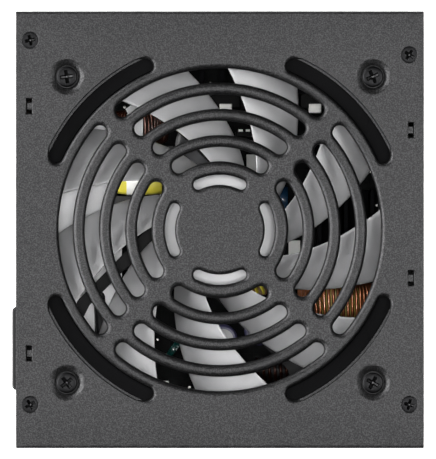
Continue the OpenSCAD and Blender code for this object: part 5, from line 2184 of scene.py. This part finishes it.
@dataclass
class Studio:
    """Plain pale floor, soft lights and the camera, straight above the fan face.

    Attributes:
        distance: Height of the camera over the fan face.
        frame_h: Height of the picture at the fan face.
        centre: Middle of the picture there.
        floor_half: Half of the floor's width.
        floor_inset: How far the floor reaches under the base's edges.
        floor_drop: Depth of the floor below the base, so that the two don't coincide.
        floor_glow: Light that the floor gives off.
        sky: Light of the surround.
        aim_z: Height that the lights are turned to.
        far_clip: Depth of the camera's view, in metres.
        boxes: The lights.
    """

    distance: float = 2300.0
    frame_h: float = 157.4
    centre: Flat = (-0.64, 0.08)
    sensor: float = 24.0
    floor_half: float = 6000.0
    floor_inset: float = 0.5
    floor_drop: float = 0.05
    floor_glow: float = 1.0
    sky: float = 0.22
    aim_z: float = 80.0
    far_clip: float = 100.0
    boxes: tuple[Softbox, ...] = (
        Softbox("left_box", (-640.0, 120.0, 300.0), (1300.0, 160.0), 21.0),
        Softbox("left_high_box", (-510.0, 0.0, 700.0), (500.0, 400.0), 6.0),
        Softbox("right_box", (510.0, 0.0, 700.0), (500.0, 400.0), 7.0),
        Softbox("top_box", (0.0, 0.0, 2200.0), (300.0, 300.0), 17.0),
        Softbox("near_fill", (0.0, -700.0, 40.0), (700.0, 60.0), 3.0),
        Softbox("far_fill", (0.0, 700.0, 40.0), (700.0, 60.0), 3.0),
    )

    def floor(self) -> None:
        """Lays a floor that is open under the base and glows a little, so that it stays white."""
        shader = Shader("finish_floor")
        shade = 0.9 + (shader.noise(400.0, 1.0) - 0.5) * 0.02
        shader.dress({"Base Color": shader.tint((1.0, 1.0, 1.0), shade), "Roughness": 0.8,
                      "Emission Color": (1.0, 1.0, 1.0), "Emission Strength": self.floor_glow})
        maker = MeshMaker()
        wide, deep, _ = size_of("base_shell")
        outer = rectangle((0.0, 0.0), (self.floor_half, self.floor_half))
        under = (wide / 2 - self.floor_inset, deep / 2 - self.floor_inset)
        inner = rectangle(middle_of("base_shell")[:2], under)
        maker.bands([maker.loop((*p, -self.floor_drop) for p in rim) for rim in (outer, inner)])
        plane = maker.make("floor", [])
        plane.data.materials.append(shader.material)

    def light(self, box: Softbox) -> None:
        """Hangs one softbox, turned to the fan face.

        Args:
            box: The softbox.
        """
        lamp = bpy.data.lights.new(box.name, "AREA")
        lamp.shape = "RECTANGLE"
        lamp.size, lamp.size_y = (v * MM for v in box.size)
        lamp.energy = box.watts
        made = bpy.data.objects.new(box.name, lamp)
        bpy.context.scene.collection.objects.link(made)
        made.location = Vector(box.place) * MM
        aim = Vector((0.0, 0.0, self.aim_z)) * MM - made.location
        made.rotation_euler = aim.to_track_quat("-Z", "Y").to_euler()
        made.visible_camera = False

    def world(self) -> None:
        """Sets a dim even surround, which the camera sees as pale."""
        scene = bpy.context.scene
        scene.world = bpy.data.worlds.new("surround")
        scene.world.use_nodes = True
        nodes = Nodes(scene.world.node_tree)
        back = nodes.of_type("BACKGROUND")
        seen = nodes.node("ShaderNodeLightPath", output="Is Camera Ray")
        level = nodes.node("ShaderNodeMapRange", {}, {"Value": seen, "To Min": self.sky, "To Max": 1.0})
        nodes.feed(back.inputs["Color"], (1.0, 1.0, 1.0))
        nodes.feed(back.inputs["Strength"], level)
        scene.view_settings.view_transform = "Standard"

    def camera(self) -> None:
        """Sets the camera over the fan face, with the case's width upright in the picture."""
        data = bpy.data.cameras.new("camera")
        data.sensor_fit = "VERTICAL"
        data.sensor_height = data.sensor_width = self.sensor
        data.lens = self.sensor * self.distance / self.frame_h
        data.clip_end = self.far_clip
        made = bpy.data.objects.new("camera", data)
        bpy.context.scene.collection.objects.link(made)
        top = high_of("cover_shell")[2]
        made.location = Vector((*self.centre, top + self.distance)) * MM
        bpy.context.scene.camera = made

    def build(self) -> None:
        """Sets the studio up."""
        self.floor()
        self.world()
        self.camera()
        for box in self.boxes:
            self.light(box)


def screws(cover: Cover) -> list[CrossScrews]:
    """The cover's and the fan's screws.

    Args:
        cover: The cover that they sit in.

    Returns:
        Both sets.
    """
    top = high_of("cover_shell")[2]
    return [
        CrossScrews("cover_screw_set", "cover_screws", cover.screw_spots, top - cover.sheet, Head.SUNK,
                    head_r=2.75, head_h=0.96, shank_r=1.45, length=4.0, recess_w=3.4, recess_depth=1.3,
                    turns=(12.0, 57.0, 31.0, 74.0)),
        CrossScrews("fan_screw_set", "fan_screws", cover.fan_holes(), top - cover.dimple_seat, Head.PAN,
                    head_r=3.65, head_h=1.5, shank_r=2.1, length=10.0, recess_w=4.4, recess_depth=1.5,
                    turns=(38.0, 8.0, 62.0, 24.0)),
    ]


def main() -> None:
    """Builds the unit in order and reports each piece."""
    logging.basicConfig(level=logging.INFO, format="%(name)s: %(message)s")
    Studio().build()
    cover = Cover()
    parts: list[SubAssembly] = [cover, *screws(cover), FanRotor(), Coils(), Leads(), TransformerWrap(),
                                StandbyTransformer(), PinHeader(), RockerMarks(), FrameNodes()]
    for part in parts:
        for piece in part.build():
            LOG.info("%s rides on %s", piece.name, piece["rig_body"])


if __name__ == "__main__":
    main()
